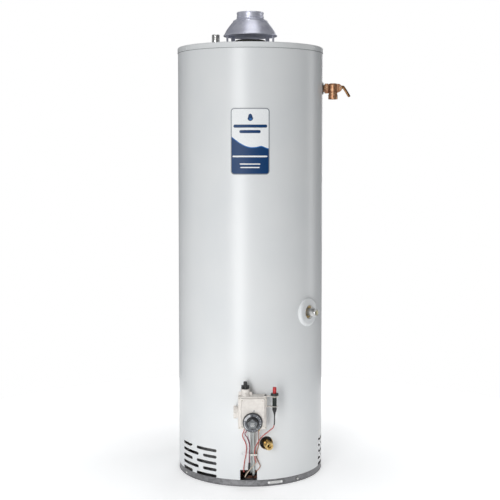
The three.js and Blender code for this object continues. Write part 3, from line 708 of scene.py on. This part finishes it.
shank = rod(0.0125, 0.202, 0.264, 48)
nut = soften(hex_bar(0.034, 0.262, 0.275), 0.0012, 3)
barrel = turned([
    (0, 1.309), (0.016, 1.309), (0.0165, 1.31), (0.0165, 1.3245), (0.0152, 1.3262), (0.0152, 1.33),
    (0.0165, 1.332), (0.0165, 1.359), (0.016, 1.3612), (0.0145, 1.3632), (0.012, 1.3646), (0, 1.365),
], 64)
nose = solid([(0.0116, 0.298), (0.0116, 0.3035), (0.01, 0.305), (0.01, 0.3105), (0.0092, 0.3115)], 48)


def cheek(side):
    shape = solid([(0.0136, -0.0015), (0.0145, -0.0007), (0.0145, 0.0007), (0.0136, 0.0015)], 48)
    return moved(swung(shape, math.pi / 2, "X"), x=0.3085, y=side * 0.009, z=relief_z + 0.0015)


ears = [cheek(-1), cheek(1)]
web = soften(cube((0.303, -0.01, 1.3462), (0.3085, 0.01, 1.3598)), 0.0008, 2)
valve = merged(turn_to_x(shank, relief_z), turn_to_x(nut, relief_z), moved(barrel, x=outlet_x),
               turn_to_x(nose, stem_z), web, *ears)
stem_bore = turn_to_x(rod(0.0034, 0.3, 0.33, 32), stem_z)
threads = [(0, 1.3), (0.0112, 1.3)]
for index in range(9):
    threads += [(0.0112, 1.3095 + index * 0.0022), (0.0104, 1.3106 + index * 0.0022)]
threads += [(0.0104, 1.334), (0, 1.334)]
valve = cut_away(cut_away(valve, stem_bore), moved(turned(threads, 48), x=outlet_x))
make_piece("relief_casting", soften(valve, 0.0005, 2, 40), bronze,
           nodes=["relief_valve_body"])
stem = merged(rod(0.0029, 0.3015, 0.3225, 32),
              solid([(0.0045, 0.322), (0.0045, 0.3243), (0.0038, 0.325)], 32))
make_piece("relief_stem_rod", turn_to_x(stem, stem_z), brass, "relief_stem",
           ["relief_valve_stem"])
lever_line = [(0.3132, 1.353), (0.3172, 1.3492), (0.3246, 1.3488), (0.3288, 1.3432), (0.3346, 1.3342),
              (0.3402, 1.3254), (0.345, 1.3172), (0.348, 1.3166), (0.3522, 1.319), (0.3526, 1.3212),
              (0.3462, 1.332), (0.3396, 1.3422), (0.3318, 1.354), (0.3286, 1.3563), (0.324, 1.3572),
              (0.3172, 1.3568)]
lever = moved(swung(thickened(filled(lever_line), 0, 0.0138), math.pi / 2, "X"), y=0.0069)
lever = cut_away(lever, cube((0.3, -0.0052, 1.33), (0.3275, 0.0052, 1.4)))
eye = rod(0.0021, -0.003, 0.003, 24)
swung(eye, math.radians(-57), "Y")
lever = cut_away(lever, moved(eye, x=0.3445, z=1.3275))
make_piece("relief_lever_plate", soften(lever, 0.0008, 2, 40), dark_bronze, "relief_lever",
           ["relief_valve_lever"])
pin = solid([(0.0021, -0.0122), (0.0024, -0.0116), (0.0024, -0.0106), (0.0014, -0.0105), (0.0014, 0.0105),
             (0.0024, 0.0106), (0.0024, 0.0116), (0.0021, 0.0122)], 24)
swung(pin, math.pi / 2, "X")
make_piece("relief_pivot_pin", moved(pin, x=0.316, z=1.353), plated_steel)
washer = turned([(0.013, 0.2543), (0.021, 0.2543), (0.021, 0.2568), (0.0202, 0.2574), (0.013, 0.2574)], 48)
make_piece("relief_washer", turn_to_x(washer, relief_z), black_rubber,
           nodes=["relief_valve_gasket"])

# Side connection: a plated steel nipple for a second water circuit, screwed into the tank and lined with
# plastic. A pressed ring of white sheet closes the jacket round it.
side_angle, side_z = 50.6, 0.579
side_pipe = threaded(0.0135, 0.0095, 0.199, 0.292, 0.273, 0.291)
make_piece("side_pipe", point_out(side_pipe, side_angle, side_z), plated_steel,
           nodes=["side_nipple"])
lining = turned([(0.0075, 0.2), (0.0091, 0.2), (0.0091, 0.2908), (0.0086, 0.2911), (0.0075, 0.2911)], 48)
make_piece("side_lining", point_out(lining, side_angle, side_z), liner_plastic,
           nodes=["side_nipple_liner"])
ring_profile = [(0.0236, 0.2615), (0.0243, 0.2628), (0.0258, 0.2629), (0.04, 0.262), (0.044, 0.2612),
                (0.047, 0.2592), (0.0485, 0.2565), (0.049, 0.2535), (0.049, 0.24), (0.048, 0.24),
                (0.0236, 0.24)]
pressed_ring = point_out(turned(ring_profile, 96), side_angle, side_z)
drum_tool = rod(jacket_r + 0.0002, 0.5, 0.66, 180)
make_piece("side_ring", cut_away(pressed_ring, drum_tool), white_paint,
           nodes=["side_escutcheon"])

# Drain valve: a brass cock screwed into the tank through a rubber seal. Its outlet points forward, and the
# stem that opens it is on its underside.
drain_angle, drain_z, stem_reach = 12.3, 0.149, 0.278
neck = rod(0.0106, 0.197, 0.258, 48)
drain_nut = soften(hex_bar(0.0242, 0.2585, 0.2705), 0.0009, 3)
barrel_line = [(0, 0.266), (0.0104, 0.266), (0.011, 0.2715), (0.011, 0.285), (0.01, 0.2858), (0.01, 0.287),
               (0.0126, 0.2876)]
for index in range(5):
    barrel_line += [(0.0134, 0.2884 + index * 0.0021), (0.0125, 0.2894 + index * 0.0021)]
barrel_line += [(0.0118, 0.299), (0, 0.299)]
boss_line = [(0, 0), (0.007, 0), (0.007, 0.0116), (0.0062, 0.0125), (0, 0.0125)]


def down_at(shape, radial):
    return moved(swung(shape, math.pi / 2, "X"), z=radial)


tap = merged(neck, drain_nut, turned(barrel_line, 64), down_at(turned(boss_line, 40), stem_reach))
tap = cut_away(tap, solid([(0.0056, 0.19), (0.0056, 0.284), (0.007, 0.2845), (0.007, 0.31)], 40))
tap = cut_away(tap, down_at(rod(0.0048, 0.008, 0.02, 32), stem_reach))
make_piece("drain_tap", point_out(soften(tap, 0.0005, 2, 40), drain_angle, drain_z), brass,
           nodes=["drain_valve_body"])
key = merged(rod(0.0043, 0.0084, 0.014, 32),
             solid([(0.0066, 0.0129), (0.007, 0.0134), (0.007, 0.0156), (0.0062, 0.0164)], 40))
key = soften(cut_away(key, cube((-0.008, -0.0009, 0.0148), (0.008, 0.0009, 0.018))), 0.0002, 1)
make_piece("drain_key", point_out(down_at(key, stem_reach), drain_angle, drain_z), brass,
           "drain_stem", ["drain_valve_stem"])
seal = turned([(0.011, 0.2285), (0.0221, 0.2285), (0.0221, 0.2345), (0.0205, 0.236), (0.011, 0.236)], 64)
make_piece("drain_gland", point_out(seal, drain_angle, drain_z), black_rubber,
           nodes=["drain_seal"])

# Gas control: a light grey die casting that hangs on the thermostat shank. A screwed front cover carries
# the dial, a boss on top the gas cock, and a ribbed boss at the left the gas inlet.
valve_grey = finish("valve_grey", (0.74, 0.7, 0.66), 0.5, 0,
                    ((90, 5), (0.7, 0.66, 0.62), (0.78, 0.745, 0.7)), (400, 0.4, 0.58),
                    (1300, 0.0002, 0.22))
valve_x, valve_z = (-0.0404, 0.0533), (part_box("gas_valve_body")[0].z, 0.32)
valve_front, cover_front = -0.308, -0.316
cock_x, cock_y, cock_top = -0.0165, -0.289, 0.342


def forward_at(shape, x, z):
    return moved(point_out(shape, 0, z), x=x)


rear_half = soften(cube((valve_x[0], -0.2865, valve_z[0]), (valve_x[1], -0.264, valve_z[1])), 0.0042, 4)
front_half = soften(cube((valve_x[0], valve_front, valve_z[0]), (valve_x[1], -0.2873, valve_z[1])), 0.0042, 4)
core = cube((valve_x[0] + 0.0012, -0.3, valve_z[0] + 0.0012),
            (valve_x[1] - 0.0012, -0.27, valve_z[1] - 0.0012))
shank = forward_at(rod(0.014, 0.199, 0.266, 48), 0.0065, 0.268)
boss = moved(solid([(0.016, 0.315), (0.016, 0.3195), (0.015, 0.3225), (0.0142, 0.326),
                    (0.0142, cock_top - 0.001), (0.0132, cock_top)], 64), cock_x, cock_y)
gussets = [soften(cube(low, high), 0.0008, 2) for low, high in (
    ((-0.039, -0.291, 0.316), (0.006, -0.287, 0.332)), ((-0.019, -0.3065, 0.316), (-0.014, -0.266, 0.33)))]
tower = soften(cube((0.012, -0.304, 0.316), (0.044, -0.27, 0.3196)), 0.0012, 2)
casting = merged(rear_half, front_half, core, shank, boss, tower, *gussets)
make_piece("valve_casting", casting, valve_grey, nodes=["gas_valve_body"])

cover = cube((-0.033, cover_front, 0.216), (0.047, valve_front - 0.0003, 0.314))
upright = [edge for edge in cover.edges if abs(edge.verts[0].co.y - edge.verts[1].co.y) > 0.005]
round_edges(cover, upright, 0.0045, 5)
face = [part for part in cover.faces if part.normal.y < -0.9]
bmesh.ops.inset_region(cover, faces=face, thickness=0.0035, depth=0)
bmesh.ops.inset_region(cover, faces=face, thickness=0.0006, depth=-0.0016)
cover = soften(cover, 0.0007, 3, 40)
dial_x, dial_z = 0.0073, 0.2365
seat = forward_at(solid([(0.0285, 0.31), (0.0285, 0.3158), (0.0278, 0.3161)], 64), dial_x, dial_z)
make_piece("valve_cover", merged(cover, seat), valve_grey, nodes=["gas_valve_cover"])
plated_screw = metal_finish("plated_screw", (0.55, 0.52, 0.46), 0.3, 0.45)
cover_corners = ((-0.028, 0.3085), (0.042, 0.3085), (-0.028, 0.2215), (0.042, 0.2215))
for number, (x, z) in enumerate(cover_corners, 1):
    screw = moved(pan_head_screw(0.003, 0.0019), z=-cover_front - 0.0019)
    make_piece(f"cover_screw_{number}", forward_at(screw, x, z), plated_screw)
casting_corners = ((-0.0366, 0.3145), (0.0502, 0.3145), (-0.0366, 0.2155), (0.0502, 0.2155))
for number, (x, z) in enumerate(casting_corners, 1):
    screw = moved(pan_head_screw(0.0024, 0.0022), z=-valve_front - 0.0004)
    make_piece(f"casting_screw_{number}", forward_at(screw, x, z), plated_screw)
index_mark = soften(cube((0.011, cover_front + 0.0006, 0.27), (0.0135, cover_front + 0.0018, 0.2765)),
                    0.0004, 2)
make_piece("valve_index", index_mark, rim_grey)

inlet = turned([(0.0088, 0.0407), (0.019, 0.0407), (0.019, 0.054), (0.0178, 0.0555), (0.01, 0.056),
                (0.0094, 0.0555), (0.0088, 0.0545)], 64)
for turn in (0, 60, 120):
    rib = soften(cube((-0.0218, -0.002, 0.0462), (0.0218, 0.002, 0.0556)), 0.0009, 2)
    swung(rib, math.radians(turn + 30), "Z")
    inlet = merged(inlet, rib)
inlet = cut_away(inlet, rod(0.0088, 0.035, 0.06, 64))
swung(inlet, -math.pi / 2, "Y")
make_piece("gas_inlet_boss", moved(inlet, y=-0.285, z=0.2635), valve_grey,
           nodes=["gas_inlet_adapter"])

# Thermostat dial: a black moulded skirt with a milled edge, a printed scale that carries painted highlights
# at its upper left and left, and a raised pointer. Its grey hub has five scallops for the fingers, set in a
# black ring.
def moulded_plastic(name, colour, low, high, bump=0.2):
    plastic = plain_finish(name, colour, low)
    tint(plastic, (220, 5), [part * 0.72 for part in colour], [part * 1.15 for part in colour])
    vary_roughness(plastic, 500, low, high)
    relief(plastic, 2200, 0.0002, bump)
    return plastic


black_plastic = moulded_plastic("black_plastic", (0.026, 0.026, 0.028), 0.32, 0.5)
dial_black = moulded_plastic("dial_black", (0.04, 0.041, 0.044), 0.38, 0.55)
hub_grey = moulded_plastic("hub_grey", (0.16, 0.17, 0.18), 0.38, 0.52)
print_white = moulded_plastic("print_white", (0.68, 0.68, 0.67), 0.45, 0.6)
# A pale grey plastic used only for the painted highlights on the dial's scale ring.
painted_highlight_plastic = moulded_plastic("painted_highlight_plastic", (0.62, 0.63, 0.65), 0.3, 0.42)
dial_face = 0.3163


def on_dial(name, shape, material, nodes=()):
    make_piece(name, forward_at(shape, dial_x, dial_z), material, "dial", nodes)


skirt = solid([(0.0318, dial_face), (0.0328, dial_face + 0.0008), (0.0328, dial_face + 0.0058),
               (0.0302, dial_face + 0.0096), (0.0292, dial_face + 0.01), (0.0205, dial_face + 0.01),
               (0.02, dial_face + 0.0094)], 120)
for point in skirt.verts:
    around = math.atan2(point.co.y, point.co.x)
    if point.co.xy.length > 0.0322 and round(around / math.tau * 120) % 2:
        point.co.x *= 0.978
        point.co.y *= 0.978
pointer = soften(cube((-0.0013, 0.0215, dial_face + 0.009), (0.0013, 0.0286, dial_face + 0.011)), 0.0004, 2)
on_dial("dial_skirt", merged(skirt, pointer), dial_black, nodes=["temperature_dial"])


def arc_patch(inner, outer, start, end, low, high, steps=14):
    turns = [math.radians(start + (end - start) * index / steps) for index in range(steps + 1)]
    outline = [(outer * math.sin(turn), outer * math.cos(turn)) for turn in turns]
    outline += [(inner * math.sin(turn), inner * math.cos(turn)) for turn in reversed(turns)]
    return thickened(filled(outline), low, high)


mark_low, mark_high = dial_face + 0.0098, dial_face + 0.0103
scale_ring = arc_patch(0.0208, 0.0292, 0, 360, mark_low, mark_high - 0.00012, 96)
scale_grey = moulded_plastic("scale_grey", (0.13, 0.14, 0.16), 0.4, 0.55)
on_dial("dial_scale_ring", scale_ring, scale_grey)
# The pale patch at the upper left and the pale arc at the left of the scale ring are painted highlights. They
# stand for the key light from the left glinting on the ring.
highlight_patch = arc_patch(0.021, 0.029, -74, -16, mark_low, mark_high)
on_dial("dial_painted_highlight", highlight_patch, painted_highlight_plastic)
highlight_arc = arc_patch(0.0262, 0.0288, -142, -80, mark_low, mark_high)
on_dial("dial_painted_highlight_arc", highlight_arc, painted_highlight_plastic)
ticks = [arc_patch(0.0258, 0.0286, turn - 1.5, turn + 1.5, mark_low, mark_high, 2) for turn in range(36,
                                                                                                     181, 18)]
ticks += [arc_patch(0.0225, 0.025, turn - 3, turn + 3, mark_low, mark_high, 4) for turn in (36, 90, 144)]
on_dial("dial_ticks", join_shapes(*ticks), print_white)

hub_low, hub_high = 0.3276, 0.3493
ring_profile = [(0.012, hub_low), (0.018, hub_low), (0.0185, hub_low + 0.0006), (0.0185, hub_high - 0.007),
                (0.0176, hub_high - 0.0058), (0.012, hub_high - 0.0058)]
on_dial("hub_ring", turned(ring_profile, 96), black_plastic)
lobes = []
for index in range(100):
    turn = index / 100 * math.tau
    reach = 0.0152 + 0.0017 * math.cos(5 * turn)
    lobes.append((reach * math.sin(turn), reach * math.cos(turn)))
hub = soften(thickened(filled(lobes), hub_low + 0.0002, hub_high), 0.0012, 3, 50)
hub_top = [part for part in hub.faces
           if part.normal.z > 0.99 and part.calc_center_median().z > hub_high - 0.001]
bmesh.ops.inset_region(hub, faces=hub_top, thickness=0.0016, depth=0)
bmesh.ops.inset_region(hub, faces=hub_top, thickness=0.0006, depth=-0.0007)
on_dial("hub_star", hub, hub_grey, ["dial_hub"])
for number, (level, length) in enumerate(((0.0035, 0.0125), (-0.001, 0.015), (-0.0055, 0.0125)), 1):
    line = soften(cube((-length / 2, level - 0.0009, hub_high - 0.0012),
                       (length / 2, level + 0.0009, hub_high - 0.0004)), 0.0002, 1)
    on_dial(f"hub_line_{number}", line, print_white)

# Gas cock: a black moulded knob with two finger wings on a round foot, pressed onto the cock's stem. The
# black pilot button slides in it on a spring.
foot = solid([(0.012, cock_top + 0.0003), (0.0125, cock_top + 0.0009), (0.0125, cock_top + 0.0045),
              (0.0117, cock_top + 0.0053)], 64)
sleeve = solid([(0.0088, cock_top + 0.004), (0.0086, cock_top + 0.0118), (0.008, cock_top + 0.0124)], 48)
wings = soften(cube((-0.0134, -0.0034, cock_top + 0.001), (0.0134, 0.0034, cock_top + 0.0122)), 0.0011, 3)
knob = merged(foot, sleeve, wings)
for side in (-1, 1):
    dimple = rod(0.0115, -0.004, 0.02, 40)
    knob = cut_away(knob, moved(dimple, y=side * 0.0163, z=cock_top + 0.0073))
knob = cut_away(knob, rod(0.0066, 0.33, 0.37, 48))
make_piece("cock_knob", moved(soften(knob, 0.0003, 1, 40), cock_x, cock_y), black_plastic,
           "gas_cock",
           ["gas_cock_knob"])
cock_mark = soften(cube((-0.0008, -0.0118, cock_top + 0.0049), (0.0008, -0.0094, cock_top + 0.0056)),
                   0.0002, 1)
make_piece("cock_mark", moved(cock_mark, cock_x, cock_y), print_white, "gas_cock")
button_low, button_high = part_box("pilot_button")
button = turned([(0, button_low.z), (0.0058, button_low.z), (0.0062, button_low.z + 0.0005),
                 (0.0062, button_high.z - 0.0012), (0.0058, button_high.z - 0.0004), (0.005, button_high.z),
                 (0.0042, button_high.z - 0.0004), (0, button_high.z - 0.001)], 64)
make_piece("pilot_cap", moved(button, cock_x, cock_y), black_plastic, "pilot_button",
           ["pilot_button"])

# Push igniter: a black barrel with a flange, held in a bent bracket at the control's corner. Its red button
# is on top and a rubber boot below takes the lead.
igniter_x, igniter_y = 0.08, -0.3
green_black = moulded_plastic("green_black_plastic", (0.022, 0.03, 0.028), 0.34, 0.5)
button_red = moulded_plastic("button_red", (0.52, 0.022, 0.025), 0.3, 0.42)
barrel = [(0, 0.281), (0.0068, 0.281), (0.0073, 0.2816)]
for index in range(18):
    barrel += [(0.0073, 0.284 + index * 0.002), (0.0067, 0.285 + index * 0.002)]
barrel += [(0.007, 0.3215), (0.0122, 0.3221), (0.013, 0.3228), (0.013, 0.3288), (0.0122, 0.3298),
           (0.008, 0.33), (0.0067, 0.3298), (0.0067, 0.3115), (0, 0.3115)]
make_piece("igniter_barrel", moved(turned(barrel, 64), igniter_x, igniter_y), green_black,
           nodes=["piezo_body"])
push = turned([(0, 0.318), (0.0063, 0.318), (0.0063, 0.347), (0.0061, 0.3485), (0.0054, 0.3496),
               (0.0044, 0.35),
               (0.0036, 0.3496), (0, 0.3488)], 64)
make_piece("igniter_cap", moved(push, igniter_x, igniter_y), button_red, "igniter_button",
           ["piezo_button"])
boot = solid([(0.0026, 0.2583), (0.0028, 0.26), (0.0034, 0.262), (0.0034, 0.264), (0.0046, 0.267),
              (0.006, 0.2705), (0.0071, 0.274), (0.0073, 0.2755), (0.0073, 0.28), (0.0066, 0.2807)], 48)
make_piece("igniter_boot", moved(boot, igniter_x, igniter_y), black_rubber,
           nodes=["piezo_boot"])
nut = moved(soften(hex_bar(0.02, 0.3165, 0.32), 0.0005, 2), igniter_x, igniter_y)
nut = cut_away(nut, moved(rod(0.0076, 0.31, 0.33, 48), igniter_x, igniter_y))
make_piece("igniter_nut", nut, plated_screw)
bracket = merged(soften(cube((0.045, -0.308, 0.3203), (0.095, -0.292, 0.3218)), 0.0004, 2),
                 soften(cube((0.0536, -0.308, 0.285), (0.0551, -0.292, 0.3213)), 0.0003, 1),
                 soften(cube((0.0536, -0.308, 0.285), (0.09, -0.292, 0.2865)), 0.0003, 1))
hole = moved(rod(0.0076, 0.27, 0.33, 48), igniter_x, igniter_y)
make_piece("igniter_bracket", cut_away(bracket, hole), valve_grey, nodes=["piezo_bracket"])
screw = moved(pan_head_screw(0.0042, 0.003), x=0.05, y=-0.3, z=0.3218)
make_piece("bracket_screw", screw, green_black)

# Outer cover: a plate of painted steel sheet, rolled to the jacket's curve. Two screws hold it over the top
# of the burner opening.
cover_r = 0.2556
cover_plate = wrapped_plate(-0.033, 0.023, 0.0582, 0.118, 0.0025, 0.2543, cover_r)
make_piece("opening_cover", cover_plate, white_paint, nodes=["outer_cover"])
for number, along in enumerate((-0.0275, 0.0178), 1):
    screw = moved(pan_head_screw(0.0028, 0.0018), z=cover_r)
    point_out(screw, math.degrees(along / cover_r), 0.1125)
    make_piece(f"opening_cover_screw_{number}", screw, white_paint)

# Tubes and leads: soft aluminium gas tubes with flare nuts, a copper thermocouple and insulated leads run
# from the control down into the burner opening, gathered by a white cable tie.
tube_aluminium = metal_finish("tube_aluminium", (0.5, 0.53, 0.52), 0.42, 0.56, 900, 0.2)
tube_copper = metal_finish("tube_copper", (0.4, 0.2, 0.13), 0.36, 0.5, 900, 0.2)


lead_beige = moulded_plastic("lead_beige", (0.56, 0.47, 0.37), 0.4, 0.55, 0.3)
lead_red = moulded_plastic("lead_red", (0.5, 0.1, 0.09), 0.4, 0.55, 0.3)
lead_maroon = moulded_plastic("lead_maroon", (0.24, 0.03, 0.065), 0.4, 0.55, 0.3)
lead_black = moulded_plastic("lead_black", (0.03, 0.03, 0.032), 0.4, 0.55, 0.3)


def run(name, route, radius, material, nodes=()):
    line = bpy.data.curves.new(name, "CURVE")
    line.dimensions = "3D"
    line.resolution_u = line.render_resolution_u = 8
    line.bevel_depth = radius
    line.bevel_resolution = 4
    line.use_fill_caps = True
    spline = line.splines.new("BEZIER")
    spline.bezier_points.add(len(route) - 1)
    for knot, place in zip(spline.bezier_points, route):
        knot.co = [part / 1000 for part in place]
        knot.handle_left_type = knot.handle_right_type = "AUTO"
    line.materials.append(material)
    enrol(add_object(name, line), "heater", nodes)


under = 210.2
run("gas_tube", [
    (10.5, -285, under), (10.5, -285, 200), (10.5, -270, 168), (10.5, -263, 140), (10.5, -263, 80),
    (10.5, -262, 62),
    (10.5, -254, 46), (10.5, -236, 37), (10.5, -190, 32), (8, -100, 30), (0, -40, 30), (0, -13.2, 30),
], 0.0048, tube_aluminium, ["main_gas_tube"])
run("pilot_tube", [
    (1.5, -285, under), (1.5, -285, 200), (2, -268, 168), (3.2, -260.5, 145), (3.2, -260, 125),
    (3.2, -260, 100),
    (3.2, -259.8, 64), (3, -258.2, 55.5), (2, -250, 48), (0, -234, 46), (0, -195, 46), (8, -140, 48),
    (14, -112, 50), (14, -98.7, 50),
], 0.0022, tube_aluminium, ["pilot_gas_tube"])
run("thermocouple_lead", [
    (28, -285, under), (28, -285, 200), (28, -272, 178), (27.5, -262, 160), (27, -261, 143),
    (22.5, -260.5, 126),
    (20, -260.5, 108), (28, -260.5, 85), (33, -260.5, 74), (28, -260.5, 64), (19, -258.8, 55), (18, -248, 48),
    (19, -225, 46), (21, -160, 47), (22, -112, 50), (22, -98.7, 50),
], 0.0015, tube_copper, ["thermocouple"])
run("igniter_lead_sleeve", [(80, -300, 258.5), (80, -299.4, 246), (80, -299, 236), (79, -292, 222)],
    0.0021, lead_black, ["igniter_lead"])
run("igniter_lead_red", [
    (79, -292, 222), (76, -284, 211), (64, -273, 197), (39, -269, 175), (23, -270, 152), (14, -270.4, 125),
    (15.5, -270.4, 106), (19, -270, 88),
], 0.0017, lead_red)
run("igniter_lead_beige", [
    (19, -270, 88), (0, -269, 65), (-12, -262, 48), (-18, -250, 33), (-16, -215, 30), (-8, -150, 44),
    (5, -112, 50), (5, -98.7, 50),
], 0.0016, lead_beige)
run("cutoff_lead_red", [
    (-20, -290, under), (-20.5, -289, 202), (-26, -268, 179), (-14, -260.5, 145), (-14.5, -260.5, 115),
    (-19, -260.5, 90), (-22, -261, 66), (-22, -258.5, 56), (-21, -248, 50), (-18, -230, 52), (-16, -222, 60),
    (-16, -213.6, 60),
], 0.0016, lead_red, ["cutoff_lead_left"])
run("cutoff_lead_maroon", [
    (-12, -290, under), (-12.5, -289, 202), (-18, -274, 186), (-10, -264, 170), (-2.5, -260.5, 143),
    (-3.4, -260.5, 115), (-3.4, -260.5, 92), (-4.5, -261, 70), (-5, -258.5, 56), (-6, -248, 50),
    (-7, -232, 52),
    (-8, -222, 60), (-8, -213.6, 60),
], 0.0016, lead_maroon, ["cutoff_lead_right"])
run("cutoff_splice", [(-3.6, -260.5, 84), (-4.5, -261, 71), (-5, -259.4, 60)], 0.003, black_plastic)
for name, across, (x, y), metal in (
        ("gas_tube_nut", 0.016, (0.0105, -0.285), tube_aluminium),
        ("pilot_tube_nut", 0.0088, (0.001, -0.285), brass),
        ("thermocouple_nut", 0.009, (0.028, -0.285), brass)):
    nut = cut_away(soften(hex_bar(across, 0.201, 0.2102), 0.0005, 2),
                   rod(0.0016, 0.19, 0.22, 24))
    make_piece(name, moved(nut, x, y), metal)

tie_white = moulded_plastic("tie_white", (0.74, 0.73, 0.68), 0.42, 0.55)
band = cube((-0.001, -0.2736, 0.1125), (0.0235, -0.2562, 0.1175))
hollow = cube((-0.0001, -0.2727, 0.11), (0.0226, -0.2571, 0.12))
for shape, round_off in ((band, 0.003), (hollow, 0.002)):
    posts = [edge for edge in shape.edges if abs(edge.verts[0].co.z - edge.verts[1].co.z) > 0.004]
    round_edges(shape, posts, round_off, 6)
head = soften(cube((0.0135, -0.2758, 0.1118), (0.0188, -0.2728, 0.1182)), 0.0006, 2)
make_piece("lead_tie", merged(cut_away(band, hollow), head), tie_white, nodes=["cable_tie"])

# Burner and inside: sooted and rusted steel seen through the opening, with brass burner fittings, and the
# tank, foam and probes that are closed in by the jacket.
rust = finish("rusted_steel", (0.05, 0.03, 0.022), 0.7, 0.3,
              ((70, 7), (0.02, 0.014, 0.012), (0.34, 0.15, 0.1), (0.4, 0.68)), ((70, 7), 0.55, 0.85),
              ((70, 7), 0.0008, 0.4))
foam = finish("foam", (0.75, 0.55, 0.25), 0.9, 0, (200, (0.66, 0.46, 0.18), (0.82, 0.64, 0.34)),
              texture=(350, 0.0006, 0.6))
pale_plastic = moulded_plastic("pale_plastic", (0.74, 0.7, 0.52), 0.45, 0.6)
own_finish = {"combustion_skirt": dull_zinc, "inner_door": rust}
finishes = {
    "white_paint": white_paint, "dark_galvanised": dull_zinc, "foam": foam, "tank_steel": rust,
    "flue_steel": flue_black, "baffle_steel": rust, "liner_plastic": pale_plastic,
    "plated_steel": plated_steel,
    "valve_brass": brass, "black_plastic": black_plastic, "bright_galvanised": bright_zinc,
}
for subpart in frame["record"]["subparts"]:
    node = frame["nodes"][subpart["node"]]
    if not node.hide_render:
        chosen_finish = own_finish.get(subpart["node"]) or finishes[subpart["material_slot"]]
        for index in range(len(node.data.materials)):
            node.data.materials[index] = chosen_finish
